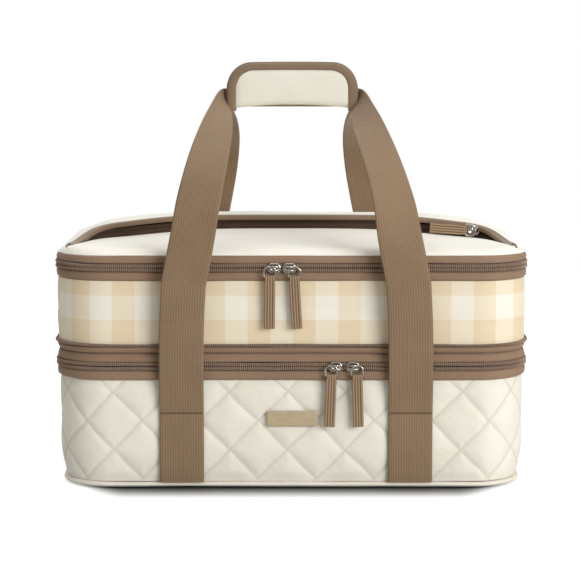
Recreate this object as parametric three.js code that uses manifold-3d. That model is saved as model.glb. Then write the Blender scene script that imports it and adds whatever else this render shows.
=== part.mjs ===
// Casserole carrier: a two-compartment insulated bag with a gingham upper tier,
// webbing handles and a padded grip.
// Units are millimetres, +Z up, the front of the bag faces -Y, the base rests on z = 0.
import * as THREE from "three";
import { mergeVertices } from "three/addons/utils/BufferGeometryUtils.js";
import Module from "manifold-3d";

const wasm = await Module();
wasm.setup();

// Body
const BODY_WIDTH = 406;
const BODY_DEPTH = 305;
const CORNER_RADIUS = 45;
const CORNER_LEAST = 14;
const CORNER_STEPS = 7;
const GAP = 0.3;
const TAPE_THICKNESS = 2;
const WALL_THICKNESS = 6;
const LINER_THICKNESS = 1.2;

// Heights of the seams above the floor
const BASE_THICKNESS = 3;
const WELT_HEIGHT = 5.6;
const WELT_WIDTH = 6;
const WELT_PROUD = 1;
const BOARD_THICKNESS = 2;
const BAR_TACK_Z = 66.9;
const QUILT_TOP_Z = 94.5;
const LOWER_CHAIN_Z = 106.4;
const FOLD_Z = 117.6;
const EXPANSION_Z = 123.2;
const GINGHAM_BASE_Z = 126.2;
const GINGHAM_TOP_Z = 180.2;
const TOP_CHAIN_Z = 191.3;
const LID_EDGE_Z = 201.6;

// Zip chain
const CHAIN_HEIGHT = 6.8;
const CHAIN_PROUD = 2;
const CHAIN_REAR_Y = 104;
const LIP_HEIGHT = 2.7;
const LIP_PROUD = 2.2;

// Lid
const PANEL_THICKNESS = 1.8;
const PANEL_RISE = 13.6;
const PANEL_SHOULDER = 80;
const FLAP_RISE = 25.2;
const FLAP_SHOULDER = 85;
const LID_INSET = 0.4;
const LID_FALL = 6;
const POCKET_Y = -25;
const POCKET_BEND = 40;
const POCKET_SIDE = 8;
const POCKET_FRONT = 42.5;
const POCKET_TAPE = 1;
const BINDING_DEPTH = 8;
const BINDING_INSET = 1;
const BINDING_HEIGHT = 5.5;

// Webbing and grip
const WEBBING_WIDTH = 38;
const WEBBING_THICKNESS = 1.6;
const STRAP_X = 98;
const STRAP_SHIFT = 4;
const REAR_STRAP_IN = 10;
const STRAP_FOLD_Z = 180;
const STRAP_FOLD_X = 95;
const STRAP_FOLD_OUT = 16.5;
const STRAP_SPREAD_END = 0.6;
const GRIP_Y = -20;
const GRIP_X = 0.8;
const GRIP_WIDTH = 118;
const GRIP_TOP_Z = 361;
const GRIP_HEIGHT = 41;
const GRIP_PAD = 5.5;
const GRIP_CORNER = 20;
const GRIP_STRAP_RISE = 14.5;
const GRIP_STRAP_WIDTH = 22;
const GRIP_STRAP_THICKNESS = 3;
const GRIP_LAYER = 2.8;
const GRIP_BINDING_TOP = 6;
const GRIP_BINDING_SIDE = 8;

// Label
const LABEL_WIDTH = 44;
const LABEL_HEIGHT = 13.6;
const LABEL_Z = 61.3;
const LABEL_THICKNESS = 1.2;
const LABEL_CORNER = 2.5;
const LABEL_X = 0.7;

// Zip sliders and pulls
const SLIDER_LENGTH = 10.2;
const SLIDER_HEIGHT = 9.6;
const SLIDER_FACE = 1.6;
const SLIDER_CORNER = 2.4;
const CROWN_WIDTH = 4;
const CROWN_HEIGHT = 6.8;
const CROWN_RISE = 3.6;
const CROWN_WALL = 1;
const CROWN_EYE = 3;
const WIRE = 1.6;
const RING_WIDTH = 11.5;
const RING_HEIGHT = 9;
const RING_CORNER = 3.4;
const TAB_WIDTH = 8.6;
const TAB_LENGTH = 46;
const TAB_THICKNESS = 2.4;
const TAB_CORNER = 1.2;
const PULL_LOOP = 4;
const PULL_LOOP_WIDTH = 5.4;
const TOP_SLIDERS_X = [-17.5, -2.2];
const LOWER_SLIDERS_X = [37.7, 52.6];
const POCKET_SLIDER_OUT = 5;
const POCKET_SLIDER_FRONT = 5.2;
const POCKET_SLIDER_RISE = 9.8;
const POCKET_SLIDER_PITCH = 4;
const EXPANSION_SLIDER_Y = 92;

const FRONT_Y = -BODY_DEPTH / 2;
const SIDE_X = BODY_WIDTH / 2;
const POCKET_END_X = SIDE_X - POCKET_SIDE;
const POCKET_STRAIGHT = POCKET_END_X - POCKET_BEND;
const POCKET_END_Y = FRONT_Y + POCKET_FRONT;
const POCKET_TURN = POCKET_Y - POCKET_END_Y;
const GRIP_BOTTOM_Z = GRIP_TOP_Z - GRIP_HEIGHT;
const GRIP_STRAP_Z = GRIP_BOTTOM_Z + GRIP_STRAP_RISE;
const CLEAR = 1000;

const COLOUR = {
  cream: "#e6e2d5",
  webbing: "#8a7156",
  tape: "#8b6f5c",
  binding: "#86705a",
  gingham: "#e0d3b4",
  leather: "#b1a083",
  nickel: "#c9c9c6",
  foil: "#cfd2d4",
  board: "#3a3a3a",
};

const carrier = new THREE.Group();

// Adds a solid to the carrier as a named mesh.
function addPart(name, solid, colour) {
  const mesh = solid.getMesh();
  const geometry = new THREE.BufferGeometry();
  geometry.setAttribute("position", new THREE.BufferAttribute(new Float32Array(mesh.vertProperties), 3));
  geometry.setIndex(new THREE.BufferAttribute(new Uint32Array(mesh.triVerts), 1));
  geometry.computeVertexNormals();
  const metal = colour === COLOUR.nickel;
  const material = new THREE.MeshStandardMaterial({
    color: colour,
    roughness: metal ? 0.3 : 0.9,
    metalness: metal ? 1 : 0,
  });
  const part = new THREE.Mesh(geometry, material);
  part.name = name;
  carrier.add(part);
}

// A closed geometry as a solid that can be joined and cut.
function solidOf(geometry) {
  const bare = new THREE.BufferGeometry();
  bare.setAttribute("position", geometry.getAttribute("position"));
  bare.setIndex(geometry.index);
  const merged = mergeVertices(bare, 1e-4);
  return new wasm.Manifold(
    new wasm.Mesh({
      numProp: 3,
      vertProperties: merged.getAttribute("position").array,
      triVerts: new Uint32Array(merged.index.array),
    }),
  );
}

// A box given by its two corners.
function box(x0, x1, y0, y1, z0, z1) {
  const geometry = new THREE.BoxGeometry(x1 - x0, y1 - y0, z1 - z0);
  geometry.translate((x0 + x1) / 2, (y0 + y1) / 2, (z0 + z1) / 2);
  return solidOf(geometry);
}

// Corner points of a rectangle with round corners, counter-clockwise.
function roundedRectangle(width, depth, radius, steps = CORNER_STEPS) {
  const points = [];
  const centres = [
    [width / 2 - radius, depth / 2 - radius],
    [radius - width / 2, depth / 2 - radius],
    [radius - width / 2, radius - depth / 2],
    [width / 2 - radius, radius - depth / 2],
  ];
  centres.forEach(([cx, cy], corner) => {
    for (let i = 0; i <= steps; i += 1) {
      const angle = ((corner + i / steps) * Math.PI) / 2;
      points.push(new THREE.Vector2(cx + radius * Math.cos(angle), cy + radius * Math.sin(angle)));
    }
  });
  return points;
}

// The body's plan outline moved inwards by a distance.
function bodyOutline(inset) {
  const radius = Math.max(CORNER_RADIUS - inset, CORNER_LEAST);
  return roundedRectangle(BODY_WIDTH - 2 * inset, BODY_DEPTH - 2 * inset, radius);
}

// A flat outline in X and Y, raised along Z from 0.
function raised(points, depth) {
  return new THREE.ExtrudeGeometry(new THREE.Shape(points), { depth, bevelEnabled: false });
}

// A plan outline raised from z0 to z1.
function prism(points, z0, z1) {
  const geometry = raised(points, z1 - z0);
  geometry.translate(0, 0, z0);
  return solidOf(geometry);
}

// An outline in the front (XZ) plane, thickened from y0 towards the back to y1.
function frontPlate(points, y0, y1) {
  const geometry = raised(points, y1 - y0);
  geometry.rotateX(Math.PI / 2);
  geometry.translate(0, y1, 0);
  return solidOf(geometry);
}

// A side-view (YZ) outline stretched along X from x0 to x1.
function sidePrism(points, x0, x1) {
  const geometry = raised(points, x1 - x0);
  const basis = new THREE.Matrix4().makeBasis(
    new THREE.Vector3(0, 1, 0),
    new THREE.Vector3(0, 0, 1),
    new THREE.Vector3(1, 0, 0),
  );
  geometry.applyMatrix4(basis);
  geometry.translate(x0, 0, 0);
  return solidOf(geometry);
}

// A band that runs round the body between two heights.
function band(z0, z1, inset, thickness) {
  const outer = prism(bodyOutline(inset), z0, z1);
  return outer.subtract(prism(bodyOutline(inset + thickness), z0 - 1, z1 + 1));
}

// The part of the body's bands that holds a zip: the front and both sides.
function zipRun(z0, z1) {
  return box(-CLEAR, CLEAR, -CLEAR, CHAIN_REAR_Y, z0 - 1, z1 + 1);
}

// The sewn rear run, where the tapes meet and bend as a hinge.
function sewnRun(z0, z1) {
  return box(-CLEAR, CLEAR, CHAIN_REAR_Y + GAP, CLEAR, z0 - 1, z1 + 1);
}

// A ring of zip tape: between z0 and z1 all round, and up or down to the hinge height at the rear.
function tapeRing(z0, z1, hinge0, hinge1) {
  const low = Math.min(z0, hinge0);
  const high = Math.max(z1, hinge1);
  const ring = band(z0, z1, 0, TAPE_THICKNESS);
  return ring.add(band(low, high, 0, TAPE_THICKNESS).intersect(sewnRun(low, high)));
}

// Half of a zip chain along the front and both sides.
function chainHalf(z0, z1) {
  return band(z0, z1, -CHAIN_PROUD, CHAIN_PROUD + TAPE_THICKNESS).intersect(zipRun(z0, z1));
}

// Height of the lid's sewn edge, which falls from the front to the rear.
function lidEdge(y) {
  return LID_EDGE_Z - (LID_FALL * (y - FRONT_Y)) / BODY_DEPTH;
}

// Everything between two distances above or below the lid's sloping edge.
function lidSpan(low, high) {
  const section = [
    new THREE.Vector2(-BODY_DEPTH, lidEdge(-BODY_DEPTH) + low),
    new THREE.Vector2(BODY_DEPTH, lidEdge(BODY_DEPTH) + low),
    new THREE.Vector2(BODY_DEPTH, lidEdge(BODY_DEPTH) + high),
    new THREE.Vector2(-BODY_DEPTH, lidEdge(-BODY_DEPTH) + high),
  ];
  return sidePrism(section, -CLEAR, CLEAR);
}

// The body's outline with a point on each side level with the pocket mouth.
function lidOutline(inset) {
  const points = bodyOutline(inset);
  const turn = points.length / 4;
  points.splice(2 * turn, 0, new THREE.Vector2(-SIDE_X + inset, POCKET_Y));
  points.push(new THREE.Vector2(SIDE_X - inset, POCKET_Y));
  return points;
}

// A stack of lid outlines joined into one closed skin that closes on a point.
// Each level gives its inset, its height above the lid's edge and how much of that it loses at the rear.
function loft(levels, top) {
  const rings = levels.map(([inset, up, loss]) =>
    lidOutline(inset).map((p) => {
      const back = Math.max(0, (p.y - POCKET_Y) / (-FRONT_Y - POCKET_Y));
      return [p.x, p.y, lidEdge(p.y) + up - loss * back];
    }),
  );
  const count = rings[0].length;
  const positions = rings.flat();
  const bottom = positions.push([0, 0, lidEdge(0) + levels[0][1]]) - 1;
  const apex = positions.push([0, 0, lidEdge(0) + top]) - 1;
  const index = [];
  for (let i = 0; i < count; i += 1) {
    const j = (i + 1) % count;
    index.push(bottom, j, i);
    for (let r = 0; r + 1 < rings.length; r += 1) {
      const low = r * count;
      const high = low + count;
      index.push(low + i, low + j, high + j, low + i, high + j, high + i);
    }
    const last = (rings.length - 1) * count;
    index.push(last + i, last + j, apex);
  }
  const geometry = new THREE.BufferGeometry();
  geometry.setAttribute("position", new THREE.Float32BufferAttribute(positions.flat(), 3));
  geometry.setIndex(index);
  return solidOf(geometry);
}

// The firm lid under the panels, raised by a distance.
function lowDome(rise) {
  const shares = [
    [0.002, 0.03],
    [0.05, 0.09],
    [0.25, 0.15],
    [0.56, 0.23],
    [1, 0.48],
  ];
  const base = GAP + rise;
  const levels = shares.map(([inset, up]) => [LID_INSET + inset * PANEL_SHOULDER, base + up * PANEL_RISE, 0]);
  return loft([[LID_INSET, GAP, 0], ...levels], base + PANEL_RISE);
}

// The puffed rear flap of the lid, raised or lowered by a distance.
function highDome(rise) {
  const shares = [
    [0, 0.034, 0.4],
    [0.031, 0.07, 0.4],
    [0.114, 0.177, 0.4],
    [0.267, 0.53, 0.37],
    [0.42, 0.637, 0.28],
    [0.632, 0.726, 0.14],
    [1, 0.889, 0.1],
  ];
  const base = GAP + rise;
  const levels = shares.map(([inset, up, loss]) => [
    LID_INSET + inset * FLAP_SHOULDER,
    base + up * FLAP_RISE,
    loss * up * FLAP_RISE,
  ]);
  return loft([[LID_INSET, GAP - BINDING_DEPTH, 0], ...levels], base + FLAP_RISE);
}

// Half of the pocket mouth seen from above: straight across the lid, then turning to the front corner.
function pocketCurve(offset) {
  const points = [new THREE.Vector2(0, POCKET_Y + offset)];
  const steps = 8;
  for (let i = 0; i <= steps; i += 1) {
    const angle = ((i / steps) * Math.PI) / 2;
    const x = POCKET_STRAIGHT + (POCKET_END_X - POCKET_STRAIGHT + offset) * Math.sin(angle);
    const y = POCKET_END_Y + (POCKET_TURN + offset) * Math.cos(angle);
    points.push(new THREE.Vector2(x, y));
  }
  return points;
}

// The lid area in front of the pocket mouth, out to an offset behind it.
function pocketRegion(offset) {
  const right = pocketCurve(offset);
  const left = right.slice(1).map((p) => new THREE.Vector2(-p.x, p.y));
  const last = right[right.length - 1];
  const front = [new THREE.Vector2(last.x, -CLEAR), new THREE.Vector2(-last.x, -CLEAR)];
  const outline = [...left.reverse(), ...right, ...front].reverse();
  return prism(outline, 0, CLEAR);
}

// A webbing ribbon through stations: centre, roll of its width from X towards Z, width and thickness.
// Both ends are cut level.
function ribbon(stations) {
  const positions = [];
  const index = [];
  stations.forEach((station, i) => {
    const before = stations[Math.max(i - 1, 0)].centre;
    const after = stations[Math.min(i + 1, stations.length - 1)].centre;
    const end = i === 0 || i === stations.length - 1;
    const tangent = new THREE.Vector3().subVectors(after, before);
    if (end) tangent.set(0, 0, Math.sign(tangent.z));
    tangent.normalize();
    const across = new THREE.Vector3(Math.cos(station.roll), 0, Math.sin(station.roll));
    across.addScaledVector(tangent, -across.dot(tangent)).normalize();
    const normal = new THREE.Vector3().crossVectors(tangent, across);
    for (const [w, t] of [[-1, -1], [1, -1], [1, 1], [-1, 1]]) {
      const corner = station.centre.clone();
      corner.addScaledVector(across, (w * station.width) / 2);
      corner.addScaledVector(normal, (t * station.thickness) / 2);
      positions.push(corner.x, corner.y, corner.z);
    }
    if (i === 0) return;
    const a = 4 * (i - 1);
    for (let k = 0; k < 4; k += 1) {
      const m = (k + 1) % 4;
      index.push(a + k, a + m, a + 4 + m, a + k, a + 4 + m, a + 4 + k);
    }
  });
  const last = 4 * (stations.length - 1);
  index.push(0, 2, 1, 0, 3, 2, last, last + 1, last + 2, last, last + 2, last + 3);
  const geometry = new THREE.BufferGeometry();
  geometry.setAttribute("position", new THREE.Float32BufferAttribute(positions, 3));
  geometry.setIndex(index);
  return solidOf(geometry);
}

// Base: bottom panel, stiffening board and the piped welt round its edge.
function makeBase() {
  addPart("base_panel", prism(bodyOutline(WELT_WIDTH + GAP - WELT_PROUD), 0, BASE_THICKNESS), COLOUR.cream);
  addPart("base_welt", band(0, WELT_HEIGHT, -WELT_PROUD, WELT_WIDTH), COLOUR.cream);
  const boardBase = BASE_THICKNESS + GAP;
  const boardInset = WALL_THICKNESS + 2 * GAP + LINER_THICKNESS;
  addPart("base_board", prism(bodyOutline(boardInset), boardBase, boardBase + BOARD_THICKNESS), COLOUR.board);
}

// Lower tub: quilted wall, foil liner and the lower half of its zip.
function makeTub() {
  addPart("lower_wall", band(WELT_HEIGHT + GAP, QUILT_TOP_Z, 0, WALL_THICKNESS), COLOUR.cream);
  const floor = BASE_THICKNESS + BOARD_THICKNESS + 2 * GAP;
  const inset = WALL_THICKNESS + GAP;
  const liner = prism(bodyOutline(inset), floor, QUILT_TOP_Z).subtract(
    prism(bodyOutline(inset + LINER_THICKNESS), floor + LINER_THICKNESS, QUILT_TOP_Z + 1),
  );
  addPart("lower_liner", liner, COLOUR.foil);
  const chainBase = LOWER_CHAIN_Z - CHAIN_HEIGHT / 2;
  const hinge = LOWER_CHAIN_Z - GAP / 2;
  const tape = tapeRing(QUILT_TOP_Z + GAP, chainBase - GAP, chainBase, hinge);
  addPart("lower_zip_tape_below", tape, COLOUR.tape);
  addPart("lower_zip_chain_below", chainHalf(chainBase, hinge), COLOUR.tape);
}

// Middle: upper half of the lower zip, the divider floor and the free row of expansion teeth.
function makeMiddle() {
  const chainTop = LOWER_CHAIN_Z + CHAIN_HEIGHT / 2;
  const hinge = LOWER_CHAIN_Z + GAP / 2;
  addPart("lower_zip_chain_above", chainHalf(hinge, chainTop), COLOUR.tape);
  addPart("lower_zip_tape_above", tapeRing(chainTop + GAP, FOLD_Z - GAP / 2, hinge, chainTop), COLOUR.tape);
  addPart("expansion_tape", band(FOLD_Z + GAP / 2, EXPANSION_Z - GAP / 2, 0, TAPE_THICKNESS), COLOUR.tape);
  const lip = band(EXPANSION_Z + GAP / 2, EXPANSION_Z + LIP_HEIGHT, -LIP_PROUD, LIP_PROUD + TAPE_THICKNESS);
  addPart("expansion_teeth_below", lip.intersect(zipRun(EXPANSION_Z, EXPANSION_Z + LIP_HEIGHT)), COLOUR.tape);
  const floor = chainTop + GAP;
  const divider = prism(bodyOutline(TAPE_THICKNESS + GAP), floor, floor + WALL_THICKNESS);
  addPart("divider_panel", divider, COLOUR.foil);
}

// Upper tier: gingham wall, foil liner, the mate of the expansion teeth and the lower half of the top zip.
function makeUpperTier() {
  const wall = band(GINGHAM_BASE_Z, GINGHAM_TOP_Z - GAP, 0, WALL_THICKNESS);
  const mateTop = GINGHAM_TOP_Z - GAP;
  const mateBase = mateTop - LIP_HEIGHT;
  const seat = band(mateBase - GAP, mateTop + 1, -1, 1 + LIP_PROUD).intersect(zipRun(mateBase, mateTop));
  addPart("gingham_wall", wall.subtract(seat), COLOUR.gingham);
  const mate = band(mateBase, mateTop, 0, LIP_PROUD - GAP);
  addPart("expansion_teeth_above", mate.intersect(zipRun(mateBase, mateTop).subtract(
    box(-CLEAR, CLEAR, CHAIN_REAR_Y - GAP, CLEAR, mateBase - 2, mateTop + 2))), COLOUR.tape);
  const chainBase = TOP_CHAIN_Z - CHAIN_HEIGHT / 2;
  const hinge = TOP_CHAIN_Z - GAP / 2;
  const linerBase = LOWER_CHAIN_Z + CHAIN_HEIGHT / 2 + WALL_THICKNESS + 2 * GAP;
  addPart("upper_liner", band(linerBase, chainBase, WALL_THICKNESS + GAP, LINER_THICKNESS), COLOUR.foil);
  addPart("top_zip_tape_below", tapeRing(GINGHAM_TOP_Z, chainBase - GAP, chainBase, hinge), COLOUR.tape);
  addPart("top_zip_chain_below", chainHalf(chainBase, hinge), COLOUR.tape);
}

// Lid: upper half of the top zip, firm core, foil lining and the pocket with its raised, bound flap.
function makeLid() {
  const chainTop = TOP_CHAIN_Z + CHAIN_HEIGHT / 2;
  const hinge = TOP_CHAIN_Z + GAP / 2;
  addPart("top_zip_chain_above", chainHalf(hinge, chainTop), COLOUR.tape);
  const tapeAbove = tapeRing(chainTop + GAP, LID_EDGE_Z, hinge, chainTop);
  addPart("top_zip_tape_above", tapeAbove.intersect(lidSpan(-BODY_DEPTH, 0)), COLOUR.tape);
  const coreBase = chainTop + GAP;
  const plug = prism(bodyOutline(TAPE_THICKNESS + GAP), coreBase, LID_EDGE_Z + 1.5 * GAP);
  const core = lowDome(0).add(plug.intersect(lidSpan(-BODY_DEPTH, 1.5 * GAP)));
  addPart("lid_core", core, COLOUR.cream);
  const liningInset = WALL_THICKNESS + LINER_THICKNESS + 3 * GAP;
  addPart("lid_lining", prism(bodyOutline(liningInset), hinge, coreBase - GAP), COLOUR.foil);
  const above = lowDome(GAP);
  const panel = lowDome(GAP + PANEL_THICKNESS).subtract(above);
  addPart("pocket_panel", panel.intersect(pocketRegion(-GAP)), COLOUR.cream);
  const side = SIDE_X - BINDING_INSET;
  const lidSpace = box(-side, side, POCKET_END_Y, CLEAR, 0, CLEAR).intersect(lidSpan(1.5 * GAP, BODY_DEPTH));
  const mouth = pocketRegion(BINDING_DEPTH).subtract(pocketRegion(0)).intersect(lidSpace);
  const tape = lowDome(GAP + POCKET_TAPE).subtract(above).intersect(mouth);
  addPart("pocket_zip_tape", tape, COLOUR.tape);
  const flapSpace = lidSpan(1.5 * GAP, BODY_DEPTH).subtract(pocketRegion(BINDING_DEPTH + GAP));
  addPart("lid_flap", highDome(0).subtract(lowDome(GAP)).intersect(flapSpace), COLOUR.cream);
  const lip = highDome(0).subtract(highDome(-BINDING_HEIGHT)).subtract(lowDome(2 * GAP + POCKET_TAPE));
  addPart("flap_binding", lip.intersect(mouth), COLOUR.binding);
}

// Sewn lower end of a strap, flat on the wall from the welt to the bar tack.
function makeStrapBase(name, x, side) {
  const inner = side * (BODY_DEPTH / 2 + GAP);
  const outer = inner + side * WEBBING_THICKNESS;
  const low = WELT_HEIGHT + GAP;
  const high = BAR_TACK_Z - GAP / 2;
  const half = WEBBING_WIDTH / 2;
  const plate = box(x - half, x + half, Math.min(inner, outer), Math.max(inner, outer), low, high);
  addPart(name, plate, COLOUR.webbing);
}

// Distance of a free strap's middle from the wall at a height between the bar tack and the fold.
function strapStandOff(z) {
  const t = (z - BAR_TACK_Z) / (STRAP_FOLD_Z - BAR_TACK_Z);
  const sewn = GAP + WEBBING_THICKNESS / 2;
  return sewn + (STRAP_FOLD_OUT - sewn) * Math.sin((t * Math.PI) / 2);
}

// Middle between the two straps of one end: the front pair sits a little to the right.
function strapMiddle(side, share) {
  return side < 0 ? STRAP_SHIFT * Math.min(1, Math.max(0, share)) : 0;
}

// How far the straps of one end stand nearer to the middle: the rear pair sits closer together.
function strapIn(side) {
  return side < 0 ? 0 : REAR_STRAP_IN;
}

// Free lower strap from the bar tack to the fold beside the lid.
function makeLowerStrap(name, hand, side) {
  const steps = 6;
  const stations = [];
  for (let i = 0; i <= steps; i += 1) {
    const t = i / steps;
    const z = BAR_TACK_Z + GAP / 2 + t * (STRAP_FOLD_Z - BAR_TACK_Z - GAP);
    const x = STRAP_X - strapIn(side) + (STRAP_FOLD_X - STRAP_X) * t * t * t;
    const y = side * (BODY_DEPTH / 2 + strapStandOff(z));
    stations.push({
      centre: new THREE.Vector3(strapMiddle(side, 1) + hand * x, y, z),
      roll: 0,
      width: WEBBING_WIDTH,
      thickness: WEBBING_THICKNESS,
    });
  }
  addPart(name, ribbon(stations), COLOUR.webbing);
}

// Upper handle strap: from the left fold up into the grip, through it and down to the right fold.
function makeHandleStrap(name, side) {
  const reach = BODY_DEPTH / 2 + STRAP_FOLD_OUT;
  const layer = GRIP_Y + side * GRIP_LAYER;
  const foldY = side * reach;
  const base = STRAP_FOLD_Z + GAP / 2;
  const rise = GRIP_STRAP_Z - base;
  const wrapX = GRIP_WIDTH / 2;
  const spread = STRAP_FOLD_X - strapIn(side) - wrapX;
  // Each key: shares of the way out from the wrap, inwards and up, of the turn on edge and of the fold.
  const keys = [
    [1, 0, 0, 0, 0],
    [0.88, -0.006, 0.15, 0.02, 0],
    [0.77, -0.003, 0.29, 0.03, 0],
    [0.66, 0.03, 0.447, 0.04, 0],
    [0.57, 0.12, 0.596, 0.07, 0.05],
    [0.485, 0.3, 0.731, 0.14, 0.2],
    [0.42, 0.55, 0.852, 0.26, 0.45],
    [0.365, 0.8, 0.936, 0.42, 0.75],
    [0.31, 0.95, 0.982, 0.65, 0.95],
    [0.22, 1, 1, 0.92, 1],
    [0.08, 1, 1, 1, 1],
    [-0.38, 1, 1, 1, 1],
  ];
  const half = keys.map(([out, inward, up, turn, fold]) => ({
    centre: new THREE.Vector3(wrapX + spread * out, foldY + (layer - foldY) * inward, base + rise * up),
    shift: new THREE.Vector3(strapMiddle(side, out / STRAP_SPREAD_END), 0, 0),
    roll: (turn * Math.PI) / 2,
    width: WEBBING_WIDTH + (GRIP_STRAP_WIDTH - WEBBING_WIDTH) * fold,
    thickness: WEBBING_THICKNESS + (GRIP_STRAP_THICKNESS - WEBBING_THICKNESS) * fold,
  }));
  const other = half.map((s) => ({
    ...s,
    centre: new THREE.Vector3(-s.centre.x, s.centre.y, s.centre.z),
    roll: Math.PI - s.roll,
  }));
  const stations = [...half, ...other.reverse()];
  stations.forEach((s) => s.centre.add(s.shift));
  addPart(name, ribbon(stations), COLOUR.webbing);
}

// Outline of the grip's face: square at the bottom fold, round at the top corners.
function gripOutline(side, top, radius, bottom = GRIP_BOTTOM_Z) {
  const half = GRIP_WIDTH / 2 - side;
  const high = GRIP_TOP_Z - top;
  const points = [
    new THREE.Vector2(GRIP_X - half, bottom),
    new THREE.Vector2(GRIP_X + half, bottom),
  ];
  for (const [sign, from] of [[1, 0], [-1, 1]]) {
    for (let i = 0; i <= 6; i += 1) {
      const angle = ((from + i / 6) * Math.PI) / 2;
      const x = GRIP_X + sign * (half - radius) + radius * Math.cos(angle);
      points.push(new THREE.Vector2(x, high - radius + radius * Math.sin(angle)));
    }
  }
  return points;
}

// Side view of one padded half of the grip, rounded at its lower outer edge.
function gripSection(inner, outer) {
  const radius = GRIP_PAD * 0.8;
  const sign = Math.sign(outer - inner);
  const points = [new THREE.Vector2(inner, GRIP_TOP_Z + 1), new THREE.Vector2(inner, GRIP_BOTTOM_Z)];
  for (let i = 0; i <= 4; i += 1) {
    const angle = (i / 4) * (Math.PI / 2);
    const y = outer - sign * radius * (1 - Math.sin(angle));
    points.push(new THREE.Vector2(y, GRIP_BOTTOM_Z + radius * (1 - Math.cos(angle))));
  }
  points.push(new THREE.Vector2(outer, GRIP_TOP_Z + 1));
  return sign > 0 ? points : points.reverse();
}

// Padded grip: a wrap that folds under both straps and closes at the top, bound along its edge.
function makeGrip() {
  const cavity = GRIP_LAYER + GRIP_STRAP_THICKNESS / 2 + GAP;
  const reach = GRIP_WIDTH;
  const y0 = GRIP_Y - cavity - GRIP_PAD;
  const y1 = GRIP_Y + cavity + GRIP_PAD;
  const radius = GRIP_CORNER - GRIP_BINDING_TOP;
  const face = frontPlate(gripOutline(GRIP_BINDING_SIDE, GRIP_BINDING_TOP, radius), y0 - 1, y1 + 1);
  const side = GRIP_BINDING_SIDE - GAP;
  const inside = gripOutline(side, GRIP_BINDING_TOP - GAP, radius + GAP, GRIP_BOTTOM_Z - 1);
  const edge = frontPlate(gripOutline(0, 0, GRIP_CORNER), y0 - 1, y1 + 1).subtract(
    frontPlate(inside, y0 - 2, y1 + 2),
  );
  const sectionFront = sidePrism(gripSection(GRIP_Y - cavity, y0), GRIP_X - reach, GRIP_X + reach);
  const sectionRear = sidePrism(gripSection(GRIP_Y + cavity, y1), GRIP_X - reach, GRIP_X + reach);
  const fold = box(GRIP_X - reach, GRIP_X + reach, GRIP_Y - cavity + GAP, GRIP_Y + cavity + 1,
    GRIP_BOTTOM_Z, GRIP_STRAP_Z - GRIP_STRAP_WIDTH / 2 - GAP);
  addPart("grip_wrap", sectionRear.add(fold).intersect(face), COLOUR.cream);
  addPart("grip_wrap_binding", sectionRear.add(fold).intersect(edge), COLOUR.binding);
  addPart("grip_flap", sectionFront.intersect(face), COLOUR.cream);
  addPart("grip_flap_binding", sectionFront.intersect(edge), COLOUR.binding);
}

// Bare leather label sewn on the quilted wall.
function makeLabel() {
  const points = roundedRectangle(LABEL_WIDTH, LABEL_HEIGHT, LABEL_CORNER, 4);
  points.forEach((p) => p.set(p.x + LABEL_X, p.y + LABEL_Z));
  addPart("label_patch", frontPlate(points, FRONT_Y - GAP - LABEL_THICKNESS, FRONT_Y - GAP), COLOUR.leather);
}

// A zip slider at the origin: chain along X, face to -Y, crown turned about Y. The chain face lies at y = 0.
function sliderSolid(turn) {
  const back = CHAIN_PROUD - GAP;
  const outline = roundedRectangle(SLIDER_LENGTH, SLIDER_HEIGHT, SLIDER_CORNER, 3);
  const faceY = -GAP - SLIDER_FACE;
  const body = frontPlate(outline, faceY, back);
  const channel = CHAIN_HEIGHT / 2 + GAP;
  const hollow = body.subtract(box(-CLEAR, CLEAR, -GAP, CLEAR, -channel, channel));
  const half = CROWN_WIDTH / 2;
  const high = CROWN_HEIGHT / 2;
  const arch = box(-half, half, faceY - CROWN_RISE, faceY + SLIDER_FACE / 2, -high, high);
  const eye = CROWN_EYE / 2;
  const tunnel = box(-CROWN_WIDTH, CROWN_WIDTH, faceY - CROWN_RISE + CROWN_WALL, faceY, -eye, eye);
  return hollow.add(arch.subtract(tunnel).rotate([0, turn, 0]));
}

// Depth of the pull's wire in front of the chain.
const WIRE_Y = -SLIDER_FACE - CROWN_RISE + CROWN_WALL + WIRE / 2;

// The D-shaped wire ring that hangs from the crown.
function ringSolid(turn) {
  const outer = roundedRectangle(RING_WIDTH, RING_HEIGHT, RING_CORNER, 4);
  const inner = roundedRectangle(RING_WIDTH - 2 * WIRE, RING_HEIGHT - 2 * WIRE, RING_CORNER - WIRE, 4);
  const drop = -RING_HEIGHT / 2 + WIRE / 2;
  outer.forEach((p) => p.set(p.x, p.y + drop));
  inner.forEach((p) => p.set(p.x, p.y + drop));
  const ring = frontPlate(outer, WIRE_Y - WIRE / 2, WIRE_Y + WIRE / 2);
  return ring.subtract(frontPlate(inner, WIRE_Y - WIRE, WIRE_Y + WIRE)).rotate([0, turn, 0]);
}

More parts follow.
